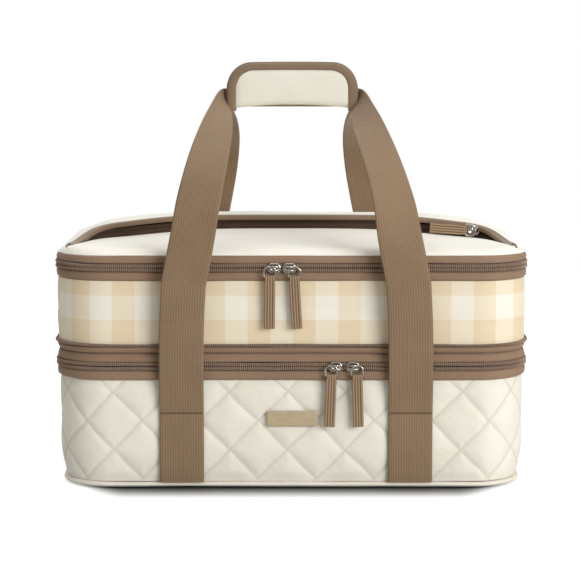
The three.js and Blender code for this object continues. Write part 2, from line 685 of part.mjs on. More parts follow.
// The webbing pull folded round the lower wire of the ring.
function tabSolid(turn) {
  const wireZ = -RING_HEIGHT + WIRE;
  const top = wireZ + PULL_LOOP / 2;
  const bottom = top - TAB_LENGTH;
  const outline = roundedRectangle(TAB_WIDTH, TAB_LENGTH, TAB_CORNER, 2);
  outline.forEach((p) => p.set(p.x, p.y + (top + bottom) / 2));
  const low = wireZ - PULL_LOOP / 2;
  const half = PULL_LOOP_WIDTH / 2;
  const loop = box(-half, half, WIRE_Y - PULL_LOOP / 2, WIRE_Y + PULL_LOOP / 2, low, top);
  const tab = frontPlate(outline, WIRE_Y - TAB_THICKNESS / 2, WIRE_Y + TAB_THICKNESS / 2);
  const shoulder = box(-TAB_WIDTH, TAB_WIDTH, WIRE_Y - PULL_LOOP, WIRE_Y + PULL_LOOP, low, top + 1);
  const eye = WIRE / 2 + GAP;
  const hole = box(-TAB_WIDTH, TAB_WIDTH, WIRE_Y - eye, WIRE_Y + eye, wireZ - eye, wireZ + eye);
  return tab.subtract(shoulder).add(loop).subtract(hole).rotate([0, turn, 0]);
}

// Slider, ring and pull of one zip at a place on its chain.
function makeSlider(name, place, heading, turn = 0, pitch = 0) {
  const set = { slider: sliderSolid(turn), ring: ringSolid(turn), pull: tabSolid(turn) };
  for (const [kind, solid] of Object.entries(set)) {
    const placed = solid.rotate([0, pitch, heading]).translate(place);
    addPart(`${name}_${kind}`, placed, kind === "pull" ? COLOUR.webbing : COLOUR.nickel);
  }
}

// All zip sliders.
function makeSliders() {
  const chainY = FRONT_Y - CHAIN_PROUD;
  makeSlider("top_left", [TOP_SLIDERS_X[0], chainY, TOP_CHAIN_Z], 0);
  makeSlider("top_right", [TOP_SLIDERS_X[1], chainY, TOP_CHAIN_Z], 0);
  makeSlider("lower_left", [LOWER_SLIDERS_X[0], chainY, LOWER_CHAIN_Z], 0);
  makeSlider("lower_right", [LOWER_SLIDERS_X[1], chainY, LOWER_CHAIN_Z], 0);
  const lipZ = EXPANSION_Z + (LIP_HEIGHT + GAP / 2) / 2;
  makeSlider("expansion", [-SIDE_X - LIP_PROUD, EXPANSION_SLIDER_Y, lipZ], -90);
  const pocketY = POCKET_Y - POCKET_SLIDER_FRONT;
  const pocketX = POCKET_STRAIGHT + POCKET_SLIDER_OUT;
  const pocketZ = LID_EDGE_Z + POCKET_SLIDER_RISE;
  makeSlider("pocket", [pocketX, pocketY, pocketZ], 0, 90, POCKET_SLIDER_PITCH);
}

// Handles: sewn bases, free straps and the upper straps of the front and rear.
function makeHandles() {
  for (const [end, side] of [["front", -1], ["rear", 1]]) {
    for (const [name, hand] of [["left", -1], ["right", 1]]) {
      const x = strapMiddle(side, 1) + hand * (STRAP_X - strapIn(side));
      makeStrapBase(`${end}_${name}_strap_base`, x, side);
      makeLowerStrap(`${end}_${name}_strap`, hand, side);
    }
    makeHandleStrap(`${end}_handle_strap`, side);
  }
}

makeBase();
makeTub();
makeMiddle();
makeUpperTier();
makeLid();
makeHandles();
makeGrip();
makeLabel();
makeSliders();

export default carrier;
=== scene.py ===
import math

import bmesh
import bpy
import numpy as np
from mathutils import Matrix, Vector


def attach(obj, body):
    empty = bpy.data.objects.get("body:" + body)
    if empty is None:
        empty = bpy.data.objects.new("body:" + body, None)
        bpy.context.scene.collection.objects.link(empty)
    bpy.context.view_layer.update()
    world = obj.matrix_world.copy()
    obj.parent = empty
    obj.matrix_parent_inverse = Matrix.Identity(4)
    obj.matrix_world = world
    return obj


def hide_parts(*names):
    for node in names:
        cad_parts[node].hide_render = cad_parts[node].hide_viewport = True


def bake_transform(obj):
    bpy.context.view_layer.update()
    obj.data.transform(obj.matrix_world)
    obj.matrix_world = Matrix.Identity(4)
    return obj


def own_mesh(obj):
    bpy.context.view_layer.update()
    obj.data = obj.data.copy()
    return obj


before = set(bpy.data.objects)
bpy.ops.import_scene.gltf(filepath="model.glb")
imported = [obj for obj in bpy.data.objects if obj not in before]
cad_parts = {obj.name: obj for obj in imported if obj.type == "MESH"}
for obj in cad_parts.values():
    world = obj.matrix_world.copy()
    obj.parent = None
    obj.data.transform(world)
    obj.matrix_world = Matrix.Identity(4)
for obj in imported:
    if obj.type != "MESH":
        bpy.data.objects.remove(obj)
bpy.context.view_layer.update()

MM = 0.001

# Sizes of the carrier in millimetres, as the CAD source has them.
BODY_WIDTH, BODY_DEPTH, CORNER = 406, 305, 45
WELT_TOP, QUILT_TOP = 5.6, 94.5
LOWER_CHAIN, FOLD, LIP = 106.4, 117.6, 123.2
GINGHAM_BASE, GINGHAM_TOP = 126.2, 180.2
TOP_CHAIN, LID_EDGE, LID_FALL = 191.3, 201.6, 6.0
CHAIN, CHAIN_PROUD, CHAIN_REAR_Y = 6.8, 2.0, 104
BAR_TACK = 66.9
GAP = 0.3
WEBBING, WEBBING_THICK = 38.0, 1.6
STRAP_X, STRAP_FOLD_X, STRAP_FOLD_Z, STRAP_OUT = 98.0, 95.0, 180.0, 16.5
STRAP_SHIFT, STRAP_IN = {"front": 4.0, "rear": 0.0}, {"front": 0.0, "rear": 10.0}
LABEL_X, LABEL_Z, LABEL_WIDTH, LABEL_HEIGHT, LABEL_THICK = 0.7, 61.3, 44.0, 13.6, 1.2

# The outline seen from above, measured along its edge from the middle of the front.
FRONT_RUN = BODY_WIDTH / 2 - CORNER
TURN_RUN = CORNER * math.pi / 2
SIDE_RUN = BODY_DEPTH - 2 * CORNER
HALF_GIRTH = 2 * FRONT_RUN + 2 * TURN_RUN + SIDE_RUN
ZIP_END = FRONT_RUN + TURN_RUN + CHAIN_REAR_Y - (CORNER - BODY_DEPTH / 2)

CAMERA_PLACE, CAMERA_PITCH = (-0.0012, -2.1525, 0.4279), 7.28


def place_camera():
    data = bpy.data.cameras.new("camera")
    data.sensor_width = 36
    data.lens = 146.9
    data.clip_end = 20
    camera = bpy.data.objects.new("camera", data)
    camera.location = CAMERA_PLACE
    camera.rotation_euler = (math.radians(90 - CAMERA_PITCH), 0, 0)
    bpy.context.scene.collection.objects.link(camera)
    bpy.context.scene.camera = camera


# Materials


def linear(hex_colour):
    """An sRGB hex colour as linear RGBA."""
    parts = [int(hex_colour[i : i + 2], 16) / 255 for i in (1, 3, 5)]
    return [p / 12.92 if p <= 0.04045 else ((p + 0.055) / 1.055) ** 2.4 for p in parts] + [1]


def add_node(tree, kind, links=None, out=0, **settings):
    """Adds a node with its settings and gives one output; links gives each input a value or an output."""
    made = tree.nodes.new(kind)
    for key, value in settings.items():
        setattr(made, key, value)
    for key, value in (links or {}).items():
        if isinstance(value, bpy.types.NodeSocket):
            tree.links.new(value, made.inputs[key])
        else:
            made.inputs[key].default_value = value
    return made.outputs[out] if made.outputs else None


def new_finish(name, **sockets):
    """A material with one Principled shader; sockets are set on the shader itself."""
    material = bpy.data.materials.new(name)
    material.use_nodes = True
    tree = material.node_tree
    shader = tree.nodes["Principled BSDF"]
    for key, value in sockets.items():
        shader.inputs[key.replace("_", " ")].default_value = value
    return material, tree, shader


def per_metre(size_mm):
    """The scale of a pattern whose marks have this size."""
    return 1 / (size_mm * MM)


def grain(tree, kind, size_mm, out="Fac", settings=None, **inputs):
    """A texture in the piece's own space, sized in millimetres."""
    place = add_node(tree, "ShaderNodeTexCoord", out="Object")
    links = {"Vector": place, "Scale": per_metre(size_mm), **inputs}
    return add_node(tree, "ShaderNodeTex" + kind, links, out, **(settings or {}))


def uv_axes(tree):
    """The two coordinates of the piece's weave map, which is in metres."""
    uv = add_node(tree, "ShaderNodeTexCoord", out="UV")
    return [add_node(tree, "ShaderNodeSeparateXYZ", {0: uv}, out=axis) for axis in (0, 1)]


def stripe_wave(tree, coordinate, spacing_mm):
    """A wave from -1 to 1 along one coordinate in metres, one cycle every spacing."""
    turn = add_node(tree, "ShaderNodeMath", {0: coordinate, 1: 2 * math.pi * per_metre(spacing_mm)},
                    operation="MULTIPLY")
    return add_node(tree, "ShaderNodeMath", {0: turn}, operation="SINE")


def plain_weave(tree, spacing_mm):
    """Threads that cross over and under one another, from -1 to 1."""
    warp, weft = (stripe_wave(tree, axis, spacing_mm) for axis in uv_axes(tree))
    return add_node(tree, "ShaderNodeMath", {0: warp, 1: weft}, operation="MULTIPLY")


def dye_and_painted_shade(tree, shader, share, dark, light, *shades):
    """Colours a shader between two tones by a share, times shades: a value, its span and what it gives. Some
    callers paint light and shade with it.
    """
    colour = add_node(tree, "ShaderNodeMix", {"Factor": share, "A": dark, "B": light}, "Result",
                      data_type="RGBA")
    for value, (low, high), (least, most) in shades:
        shade = add_node(tree, "ShaderNodeMapRange", {"Value": value, "From Min": low, "From Max": high,
                                                      "To Min": least, "To Max": most})
        colour = add_node(tree, "ShaderNodeVectorMath", {0: colour, 1: shade}, operation="MULTIPLY")
    tree.links.new(colour, shader.inputs["Base Color"])


def emboss(tree, shader, *layers):
    """Bumps a shader by layers of height, strength and depth in millimetres, each over the one before."""
    under = {}
    for height, strength, depth_mm in layers:
        normal = add_node(tree, "ShaderNodeBump", {"Height": height, "Strength": strength,
                                                   "Distance": depth_mm * MM, **under})
        under = {"Normal": normal}
    tree.links.new(normal, shader.inputs["Normal"])


def cream_cloth(name, tones, puff):
    # Coated polyester oxford: a plain weave with a soft matt face. Threads of 0.4 mm are drawn at about
    # 1 mm so that they show, and a slow mottling stands for the slack between the stitches. Where the
    # seam attribute says so, the cloth is pinched into a groove, and its colour darkens there: painted shade.
    material, tree, shader = new_finish(name, Roughness=0.82, Sheen_Weight=0.18, Sheen_Roughness=0.5)
    weave = plain_weave(tree, 1.1)
    slack = grain(tree, "Noise", 38.46, Detail=4.0, Roughness=0.55)
    slub = grain(tree, "Noise", 1.111, Detail=2.0)
    mottle = add_node(tree, "ShaderNodeMapRange", {"Value": slack, "From Min": 0.3, "From Max": 0.7})
    # Painted shade: the seam attribute darkens the colour along the quilting grooves.
    painted_seam_shade = add_node(tree, "ShaderNodeAttribute", out="Fac", attribute_name="seam")
    dye_and_painted_shade(tree, shader, mottle, linear(tones[0]), linear(tones[1]), (weave, (-1, 1), (0.965, 1)),
        (painted_seam_shade, (0, 1), (1, 0.86)))
    emboss(tree, shader, (slack, 0.35, puff), (slub, 0.12, 0.3), (weave, 0.14, 0.2))
    return material


GINGHAM_CHECKS = ((19.3, 11.35), (21.0, 136.5))


def gingham_cotton():
    # Printed cotton-look polyester: dyed bands cross in plain weave, so the crossings read twice as dark
    # and the single bands half as dark. The weave shows at about 1 mm. Each axis has the width of its
    # checks and the middle of one dyed band.
    material, tree, shader = new_finish("gingham_cotton", Roughness=0.8, Sheen_Weight=0.12,
                                        Sheen_Roughness=0.5)
    uv = add_node(tree, "ShaderNodeTexCoord", out="UV")
    drift = add_node(tree, "ShaderNodeTexNoise", {"Vector": uv, "Scale": per_metre(1.4286), "Detail": 2.0},
                     "Color")
    bleed = add_node(tree, "ShaderNodeVectorMath", {0: drift, 1: (0.9 * MM, 0.9 * MM, 0)},
                     operation="MULTIPLY")
    printed = add_node(tree, "ShaderNodeVectorMath", {0: uv, 1: bleed}, operation="ADD")
    bands = []
    for axis, (check, centre) in enumerate(GINGHAM_CHECKS):
        at = add_node(tree, "ShaderNodeSeparateXYZ", {0: printed}, out=axis)
        shift = add_node(tree, "ShaderNodeMath", {0: at, 1: (centre - check / 2) * MM}, operation="SUBTRACT")
        wave = stripe_wave(tree, shift, 2 * check)
        bands.append(add_node(tree, "ShaderNodeMapRange", {"Value": wave, "From Min": -0.06,
                                                           "From Max": 0.06}))
    single, double = (add_node(tree, "ShaderNodeMath", {0: bands[0], 1: bands[1]}, operation=way)
                      for way in ("MAXIMUM", "MULTIPLY"))
    pale = add_node(tree, "ShaderNodeMix", {"Factor": single, "A": linear("#ece7da"),
                                            "B": linear("#e7dbc2")}, "Result", data_type="RGBA")
    weave = plain_weave(tree, 1.1)
    dye_and_painted_shade(tree, shader, double, pale, linear("#e0ceae"), (weave, (-1, 1), (0.955, 1)))
    emboss(tree, shader, (grain(tree, "Noise", 45.45, Detail=3.0), 0.3, 2.5), (weave, 0.15, 0.2))
    return material


def ribbed_webbing(name, tones, rib_mm, pick_mm, depth_mm):
    # Woven polypropylene webbing: lengthwise ribs with the weft's picks crossing them in half steps,
    # so the grooves are painted dark as shade and the crowns painted lighter as a dull highlight.
    material, tree, shader = new_finish(name, Roughness=0.72, Sheen_Weight=0.15, Sheen_Roughness=0.45)
    length, across = uv_axes(tree)
    rib, half = stripe_wave(tree, across, rib_mm), stripe_wave(tree, across, 2 * rib_mm)
    pick = stripe_wave(tree, length, pick_mm)
    step = add_node(tree, "ShaderNodeMath", {0: pick, 1: half}, operation="MULTIPLY")
    weave = add_node(tree, "ShaderNodeMath", {0: step, 1: 0.3, 2: rib}, operation="MULTIPLY_ADD")
    crown = add_node(tree, "ShaderNodeMapRange", {"Value": weave, "From Min": -1.3, "From Max": 1.3})
    wear = grain(tree, "Noise", 33.33, Detail=3.0)
    # Tone by rib height: painted shade in the grooves, painted highlight on the crowns.
    dye_and_painted_shade(tree, shader, crown, linear(tones[0]), linear(tones[1]), (wear, (0.3, 0.7), (0.94, 1.05)))
    emboss(tree, shader, (grain(tree, "Noise", 0.7143, Detail=2.0), 0.2, 0.3), (crown, 0.6, depth_mm))
    return material


def nylon_coil(name, dark, light):
    # Moulded nylon coil: smooth round wire with a low plastic shine and a tone that drifts a little.
    material, tree, shader = new_finish(name, Roughness=0.45, Specular_IOR_Level=0.4)
    tone = grain(tree, "Noise", 4.545, Detail=2.0)
    dye_and_painted_shade(tree, shader, tone, linear(dark), linear(light))
    emboss(tree, shader, (tone, 0.1, 0.2))
    return material


def plated_nickel():
    # Cast zinc with polished nickel plate: bright, slightly warm, with faint tumbling marks and
    # handling haze.
    material, tree, shader = new_finish("plated_nickel", Metallic=1.0)
    haze = grain(tree, "Noise", 2.381, Detail=4.0)
    rough = add_node(tree, "ShaderNodeMapRange", {"Value": haze, "To Min": 0.1, "To Max": 0.22})
    tree.links.new(rough, shader.inputs["Roughness"])
    dye_and_painted_shade(tree, shader, haze, linear("#8f8a84"), linear("#cdc6bd"))
    emboss(tree, shader, (haze, 0.06, 0.2))
    return material


def foil_lining():
    # Aluminised film on thin foam: dull silver with heat-pressed creases a few centimetres long.
    material, tree, shader = new_finish("foil_lining", Metallic=0.75)
    crease = grain(tree, "Voronoi", 23.81, "Distance", {"feature": "DISTANCE_TO_EDGE"})
    crinkle = grain(tree, "Noise", 6.25, Detail=5.0, Roughness=0.6)
    height = add_node(tree, "ShaderNodeMath", {0: crease, 1: crinkle}, operation="ADD")
    rough = add_node(tree, "ShaderNodeMapRange", {"Value": crinkle, "To Min": 0.25, "To Max": 0.5})
    tree.links.new(rough, shader.inputs["Roughness"])
    dye_and_painted_shade(tree, shader, crinkle, linear("#b9bcbf"), linear("#d9dbdc"))
    emboss(tree, shader, (height, 0.35, 1.2))
    return material


def saddle_leather():
    # Vegetable-tanned leather: fine pebbled grain, low gloss, and a burnished tone that drifts across
    # the hide.
    material, tree, shader = new_finish("saddle_leather", Roughness=0.55)
    pebble = grain(tree, "Voronoi", 0.9091, "Distance", {"feature": "DISTANCE_TO_EDGE"})
    dye_and_painted_shade(tree, shader, grain(tree, "Noise", 8.333, Detail=5.0), linear("#a28f70"), linear("#bdac8f"))
    emboss(tree, shader, (pebble, 0.25, 0.4))
    return material


def spun_thread(name, dark, light):
    # Twisted polyester thread: the plies show as fine slanted bands.
    material, tree, shader = new_finish(name, Roughness=0.7)
    ply = grain(tree, "Wave", 3.846, settings={"bands_direction": "DIAGONAL"}, Distortion=1.0)
    dye_and_painted_shade(tree, shader, ply, linear(dark), linear(light))
    emboss(tree, shader, (ply, 0.3, 0.2))
    return material


def pressed_board():
    # Black polyethylene stiffener: calendered sheet with a faint pebble.
    material, tree, shader = new_finish("pressed_board", Roughness=0.6)
    pebble = grain(tree, "Noise", 1.111, Detail=2.0)
    dye_and_painted_shade(tree, shader, pebble, linear("#2f2f2f"), linear("#414141"))
    emboss(tree, shader, (pebble, 0.2, 0.2))
    return material


FINISH = {
    "quilt": cream_cloth("quilted_oxford", ("#e2decf", "#e9e5d9"), 3.0),
    "lid": cream_cloth("lid_oxford", ("#e9e6da", "#efece3"), 4.0),
    "grip": cream_cloth("grip_oxford", ("#e6e2d4", "#ebe7db"), 2.0),
    "gingham": gingham_cotton(),
    "webbing": ribbed_webbing("polypropylene_webbing", ("#7b634a", "#8a7154"), 2.2, 1.7, 0.4),
    "pull": ribbed_webbing("pull_webbing", ("#5f4835", "#a78d6c"), 2.3, 1.3, 0.7),
    "tape": ribbed_webbing("zip_tape_twill", ("#836851", "#957a62"), 1.2, 1.2, 0.25),
    "binding": ribbed_webbing("grosgrain_binding", ("#705b47", "#836d56"), 40.0, 1.2, 0.25),
    "cord_edge": ribbed_webbing("zip_cord_edge", ("#5b4737", "#77614f"), 1.2, 1.2, 0.2),
    # A darker copy of the zip tape: partly the tape's own dark colour, partly painted shade for gaps and
    # creases.
    "dark_tape": ribbed_webbing("pocket_zip_twill_and_painted_shade", ("#453327", "#5e4839"), 1.2, 1.2, 0.2),
    "coil": nylon_coil("nylon_coil", "#8a7260", "#a48c78"),
    # A darker copy of the coil: partly its own colour, partly painted shade for the gap under the pocket's
    # lip.
    "dark_coil": nylon_coil("dark_nylon_coil_and_painted_shade", "#54412f", "#6f5a49"),
    "nickel": plated_nickel(),
    "foil": foil_lining(),
    "leather": saddle_leather(),
    "board": pressed_board(),
    "brown_thread": spun_thread("brown_thread", "#54402f", "#6d5641"),
    "pale_thread": spun_thread("pale_thread", "#d9d5c6", "#ebe8dd"),
    "quilt_thread": spun_thread("quilt_thread", "#bdb8a6", "#d2cdbd"),
    "leather_thread": spun_thread("leather_thread", "#cbbb9c", "#e8dcc4"),
}


# Mesh making


def outline_at(along, out=0.0):
    """Point and outward direction on the body's outline at a distance along it from the front's middle."""
    along = (np.asarray(along, float) + HALF_GIRTH) % (2 * HALF_GIRTH) - HALF_GIRTH
    a, hand = np.abs(along), np.where(along < 0, -1.0, 1.0)
    front_turn = np.clip((a - FRONT_RUN) / CORNER, 0, math.pi / 2)
    rear_turn = np.clip((a - FRONT_RUN - TURN_RUN - SIDE_RUN) / CORNER, 0, math.pi / 2)
    turn = front_turn + rear_turn
    nx, ny = np.sin(turn), -np.cos(turn)
    rear = np.clip(a - FRONT_RUN - 2 * TURN_RUN - SIDE_RUN, 0, None)
    x = np.minimum(a, FRONT_RUN) - rear + CORNER * nx
    y = CORNER - BODY_DEPTH / 2 + np.clip(a - FRONT_RUN - TURN_RUN, 0, SIDE_RUN) + CORNER * ny
    x, nx = hand * x, hand * nx
    normal = np.stack([nx, ny, np.zeros_like(nx)], -1)
    point = np.stack([x, y, np.zeros_like(x)], -1) + normal * np.asarray(out, float)[..., None]
    return point, normal


DRAW_HEIGHT, DRAW_FRONT, DRAW_SIDE = 42, 1.2, 5.3


def base_draw(along, z):
    """How far the cloth is drawn in near the base: most at corners and sides, little at front and rear."""
    facing = np.abs(outline_at(along)[1][..., 0])
    low = np.clip(1 - np.asarray(z, float) / DRAW_HEIGHT, 0, 1) ** 2.2
    return (DRAW_FRONT + DRAW_SIDE * facing**1.5) * low


def ripple(along, seed, size):
    """A slow periodic wave along the girth, for cloth that is never quite straight."""
    turns = np.asarray(along, float) / HALF_GIRTH * math.pi
    total = 0
    for k, share in ((5, 0.45), (9, 0.3), (14, 0.2), (23, 0.12)):
        total = total + share * np.sin(k * turns + seed * (k + 1.7))
    return size * total


def seam(along, z):
    """Height of a sewn line that runs round the body near z."""
    return z + ripple(along, 0.37 * z, 0.35)


def unit_rows(vectors):
    """Rows of vectors, each at length one."""
    return vectors / np.linalg.norm(vectors, axis=1)[:, None]


def new_object(name, mesh):
    made = bpy.data.objects.new(name, mesh)
    bpy.context.scene.collection.objects.link(made)
    return made


def cut_quads(quads, rising):
    """Cuts rows of four into two rows of three: by the first diagonal where rising, else by the other."""
    one, two = quads[:, [[0, 1, 2], [0, 2, 3]]], quads[:, [[0, 1, 3], [1, 2, 3]]]
    return np.where(rising.reshape((-1,) + (1,) * (one.ndim - 1)), one, two)


def skin(name, points, uv, material, wrap_rows=False, wrap_columns=False, caps=False, crease=40,
         open_sheet=False, split=None):
    """A grid of points in millimetres as a mesh. uv has one more row or column where the grid wraps."""
    rows, columns = points.shape[:2]
    i = np.arange(rows if wrap_rows else rows - 1)[:, None]
    j = np.arange(columns if wrap_columns else columns - 1)[None, :]
    corner = [(i, j), (i, j + 1), (i + 1, j + 1), (i + 1, j)]
    faces = np.stack([(a % rows) * columns + b % columns + 0 * i + 0 * j for a, b in corner], -1)
    faces = faces.reshape(-1, 4)
    places = np.stack([np.broadcast_arrays(a + 0 * j, b + 0 * i) for a, b in corner], 0)
    loop_uv = uv[places[:, 0], places[:, 1]].transpose(1, 2, 0, 3)
    if split is not None:
        faces = cut_quads(faces, split).reshape(-1, 3)
        loop_uv = cut_quads(loop_uv.reshape(-1, 4, 2), split)
    loop_uv = loop_uv.reshape(-1, 2)
    mesh = bpy.data.meshes.new(name)
    polygons = faces.tolist()
    if caps:
        polygons.append(list(range(columns)))
        polygons.append([(rows - 1) * columns + c for c in range(columns)])
        loop_uv = np.concatenate([loop_uv, uv[0, :columns], uv[rows - 1, :columns]])
    mesh.from_pydata((points.reshape(-1, 3) * MM).tolist(), [], polygons)
    layer = mesh.uv_layers.new(name="weave")
    layer.data.foreach_set("uv", (loop_uv * MM).astype(np.float32).ravel())
    mesh.materials.append(material)
    settle(mesh, crease, not open_sheet)
    return new_object(name, mesh)


def settle(mesh, crease, outward):
    """Merges doubles, turns faces outwards and shades smooth up to the crease angle."""
    work = bmesh.new()
    work.from_mesh(mesh)
    bmesh.ops.remove_doubles(work, verts=work.verts, dist=1e-6)
    if outward:
        bmesh.ops.recalc_face_normals(work, faces=work.faces)
    for face in work.faces:
        face.smooth = True
    work.to_mesh(mesh)
    work.free()
    mesh.set_sharp_from_angle(angle=math.radians(crease))


def stack(name, rings, axes, material, crease=40):
    """A closed solid through a stack of rings; axes are the two that its weave follows."""
    points = np.stack(rings)
    flat = points[..., axes]
    uv = np.concatenate([flat, flat[:, :1]], 1)
    return skin(name, points, uv, material, wrap_columns=True, caps=True, crease=crease)


def upright(loop, y):
    """An outline in X and Z, stood at a depth."""
    return np.stack([loop[:, 0], np.full(len(loop), y), loop[:, 1]], -1)


def sweep(name, centre, side, up, profile, material, along=None, closed=False, crease=40):
    """A closed section carried along a path. profile is (k, 2) or (n, k, 2): distances on side and up."""
    centre, side, up = (np.asarray(a, float) for a in (centre, side, up))
    profile = np.asarray(profile, float)
    if profile.ndim == 2:
        profile = np.broadcast_to(profile, (len(centre),) + profile.shape)
    points = centre[:, None] + side[:, None] * profile[..., :1] + up[:, None] * profile[..., 1:]
    if along is None:
        steps = np.linalg.norm(np.diff(centre, axis=0, append=centre[:1]), axis=1)
        along = np.concatenate([[0], np.cumsum(steps)])
    elif closed:
        along = np.append(along, along[0] + 2 * HALF_GIRTH)
    if not closed:
        along = along[: len(centre)]
    loop = np.concatenate([profile[0], profile[0, :1]])
    across = np.concatenate([[0], np.cumsum(np.linalg.norm(np.diff(loop, axis=0), axis=1))])
    uv = np.stack(np.meshgrid(along, across, indexing="ij"), -1)
    return skin(name, points, uv, material, wrap_rows=closed, wrap_columns=True, caps=not closed,
                crease=crease)


def girth(run=None, step=3.0):
    """Sample distances round the body: the whole girth, or a run from -run to run."""
    if run is None:
        count = int(2 * HALF_GIRTH / step)
        return (np.arange(count) - count // 2) * (2 * HALF_GIRTH / count)
    return np.linspace(-run, run, int(2 * run / step) + 1)


def girth_band(name, profile, material, run=None, crease=40):
    """A band round the body; profile gives (out, z) points for the distances along it."""
    along = girth(run)
    centre, out = outline_at(along)
    up = np.broadcast_to([0.0, 0.0, 1.0], centre.shape)
    return sweep(name, centre, out, up, profile(along), material, along=along, closed=run is None,
                 crease=crease)


def section(along, *points):
    """Stacks (out, z) pairs, each a number or an array along the band, into a profile."""
    pairs = [[np.broadcast_to(np.asarray(v, float), along.shape) for v in p] for p in points]
    return np.stack([np.stack(p, -1) for p in pairs], 1)


def fit(piece, body, slot, *stands_for, padded=None):
    """Hangs a finished piece on its body and hides the CAD parts it stands for."""
    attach(piece, body)
    if stands_for:
        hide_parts(*stands_for)
    return piece


def dress(node, material):
    """Gives a CAD node that stays in view its finish."""
    node.data.materials.clear()
    node.data.materials.append(material)


# Repeats made by Geometry Nodes


def repeat_tree(name, inputs, make_unit):
    """A tree that sets a unit shape along every edge path of its mesh; make_unit gives shape and turn."""
    tree = bpy.data.node_groups.new(name, "GeometryNodeTree")
    tree.interface.new_socket("Geometry", in_out="INPUT", socket_type="NodeSocketGeometry")
    for key, value in inputs.items():
        socket = tree.interface.new_socket(key, in_out="INPUT", socket_type="NodeSocketFloat")
        socket.default_value = value * MM
    tree.interface.new_socket("Material", in_out="INPUT", socket_type="NodeSocketMaterial")
    tree.interface.new_socket("Geometry", in_out="OUTPUT", socket_type="NodeSocketGeometry")
    given = tree.nodes.new("NodeGroupInput").outputs
    path = add_node(tree, "GeometryNodeMeshToCurve", {"Mesh": given["Geometry"]})
    even = add_node(tree, "GeometryNodeResampleCurve", {"Curve": path, "Length": given["Pitch"]},
                    mode="LENGTH")
    shape, turn = make_unit(tree, given)
    row = add_node(tree, "GeometryNodeInstanceOnPoints", {"Points": even, "Instance": shape,
                                                          "Rotation": turn})
    solid = add_node(tree, "GeometryNodeRealizeInstances", {"Geometry": row})
    smooth = add_node(tree, "GeometryNodeSetShadeSmooth", {"Geometry": solid})
    dressed = add_node(tree, "GeometryNodeSetMaterial", {"Geometry": smooth, "Material": given["Material"]})
    add_node(tree, "NodeGroupOutput", {"Geometry": dressed})
    return tree


def outward_field(tree):
    return add_node(tree, "GeometryNodeInputNamedAttribute", {"Name": "outward"}, data_type="FLOAT_VECTOR")


def coil_unit(tree, given):
    """One turn of the coil: a wire arch that stands across the row and bulges outwards."""
    radius = add_node(tree, "ShaderNodeMath", {0: given["Row"], 1: 0.5}, operation="MULTIPLY")
    arch = add_node(tree, "GeometryNodeCurveArc", {"Resolution": 6, "Radius": radius, "Sweep Angle": math.pi})
    wire = add_node(tree, "GeometryNodeCurvePrimitiveCircle", {"Resolution": 5, "Radius": given["Wire"]})
    bar = add_node(tree, "GeometryNodeCurveToMesh", {"Curve": arch, "Profile Curve": wire,
                                                     "Fill Caps": True})
    share = add_node(tree, "ShaderNodeMath", {0: given["Rise"], 1: radius}, operation="DIVIDE")
    scale = add_node(tree, "ShaderNodeCombineXYZ", {"X": 1.0, "Y": share, "Z": 1.0})
    shape = add_node(tree, "GeometryNodeTransform", {"Geometry": bar, "Scale": scale,
                                                     "Rotation": (0, -math.pi / 2, 0)})
    turn = add_node(tree, "FunctionNodeAxesToRotation", {"Primary Axis": (0, 0, 1),
                                                         "Secondary Axis": outward_field(tree)},
                    primary_axis="Z", secondary_axis="Y")
    return shape, turn


def stitch_unit(tree, given):
    """One stitch: a short grain of thread that lies along the seam."""
    ball = add_node(tree, "GeometryNodeMeshUVSphere", {"Segments": 6, "Rings": 4, "Radius": 0.5})
    scale = add_node(tree, "ShaderNodeCombineXYZ", {"X": given["Length"], "Y": given["Thread"],
                                                    "Z": given["Thread"]})
    shape = add_node(tree, "GeometryNodeTransform", {"Geometry": ball, "Scale": scale})
    run = add_node(tree, "GeometryNodeInputTangent")
    turn = add_node(tree, "FunctionNodeAxesToRotation", {"Primary Axis": run,
                                                         "Secondary Axis": outward_field(tree)},
                    primary_axis="X", secondary_axis="Z")
    return shape, turn


COIL_TREE = repeat_tree("coil_row", {"Pitch": 1.7, "Row": 3.0, "Rise": 1.4, "Wire": 0.55}, coil_unit)
STITCH_TREE = repeat_tree("stitch_row", {"Pitch": 3.2, "Length": 2.4, "Thread": 0.5}, stitch_unit)


def repeat(name, tree, paths, material, **sizes):
    """Runs a repeat tree along paths of (points, outward) in millimetres and keeps the plain mesh."""
    points, edges, outward = [], [], []
    for line, away in paths:
        base = len(points)
        points += (np.asarray(line) * MM).tolist()
        edges += [(base + k, base + k + 1) for k in range(len(line) - 1)]
        outward += np.broadcast_to(away, np.shape(line)).tolist()
    mesh = bpy.data.meshes.new(name)
    mesh.from_pydata(points, edges, [])
    field = mesh.attributes.new("outward", "FLOAT_VECTOR", "POINT")
    field.data.foreach_set("vector", np.asarray(outward, np.float32).ravel())
    made = new_object(name, mesh)
    modifier = made.modifiers.new("repeat", "NODES")
    modifier.node_group = tree
    for item in tree.interface.items_tree:
        if item.name == "Material":
            modifier[item.identifier] = material
        elif item.name in sizes:
            modifier[item.identifier] = sizes[item.name] * MM
    graph = bpy.context.evaluated_depsgraph_get()
    plain = bpy.data.meshes.new_from_object(made.evaluated_get(graph), depsgraph=graph)
    made.modifiers.remove(modifier)
    made.data = plain
    plain.name = name
    if not plain.materials:
        plain.materials.append(material)
    return made


def join(piece, *others):
    """Joins other finished meshes into a piece."""
    with bpy.context.temp_override(active_object=piece, selected_editable_objects=[piece, *others]):
        bpy.ops.object.join()
    return piece


# Base


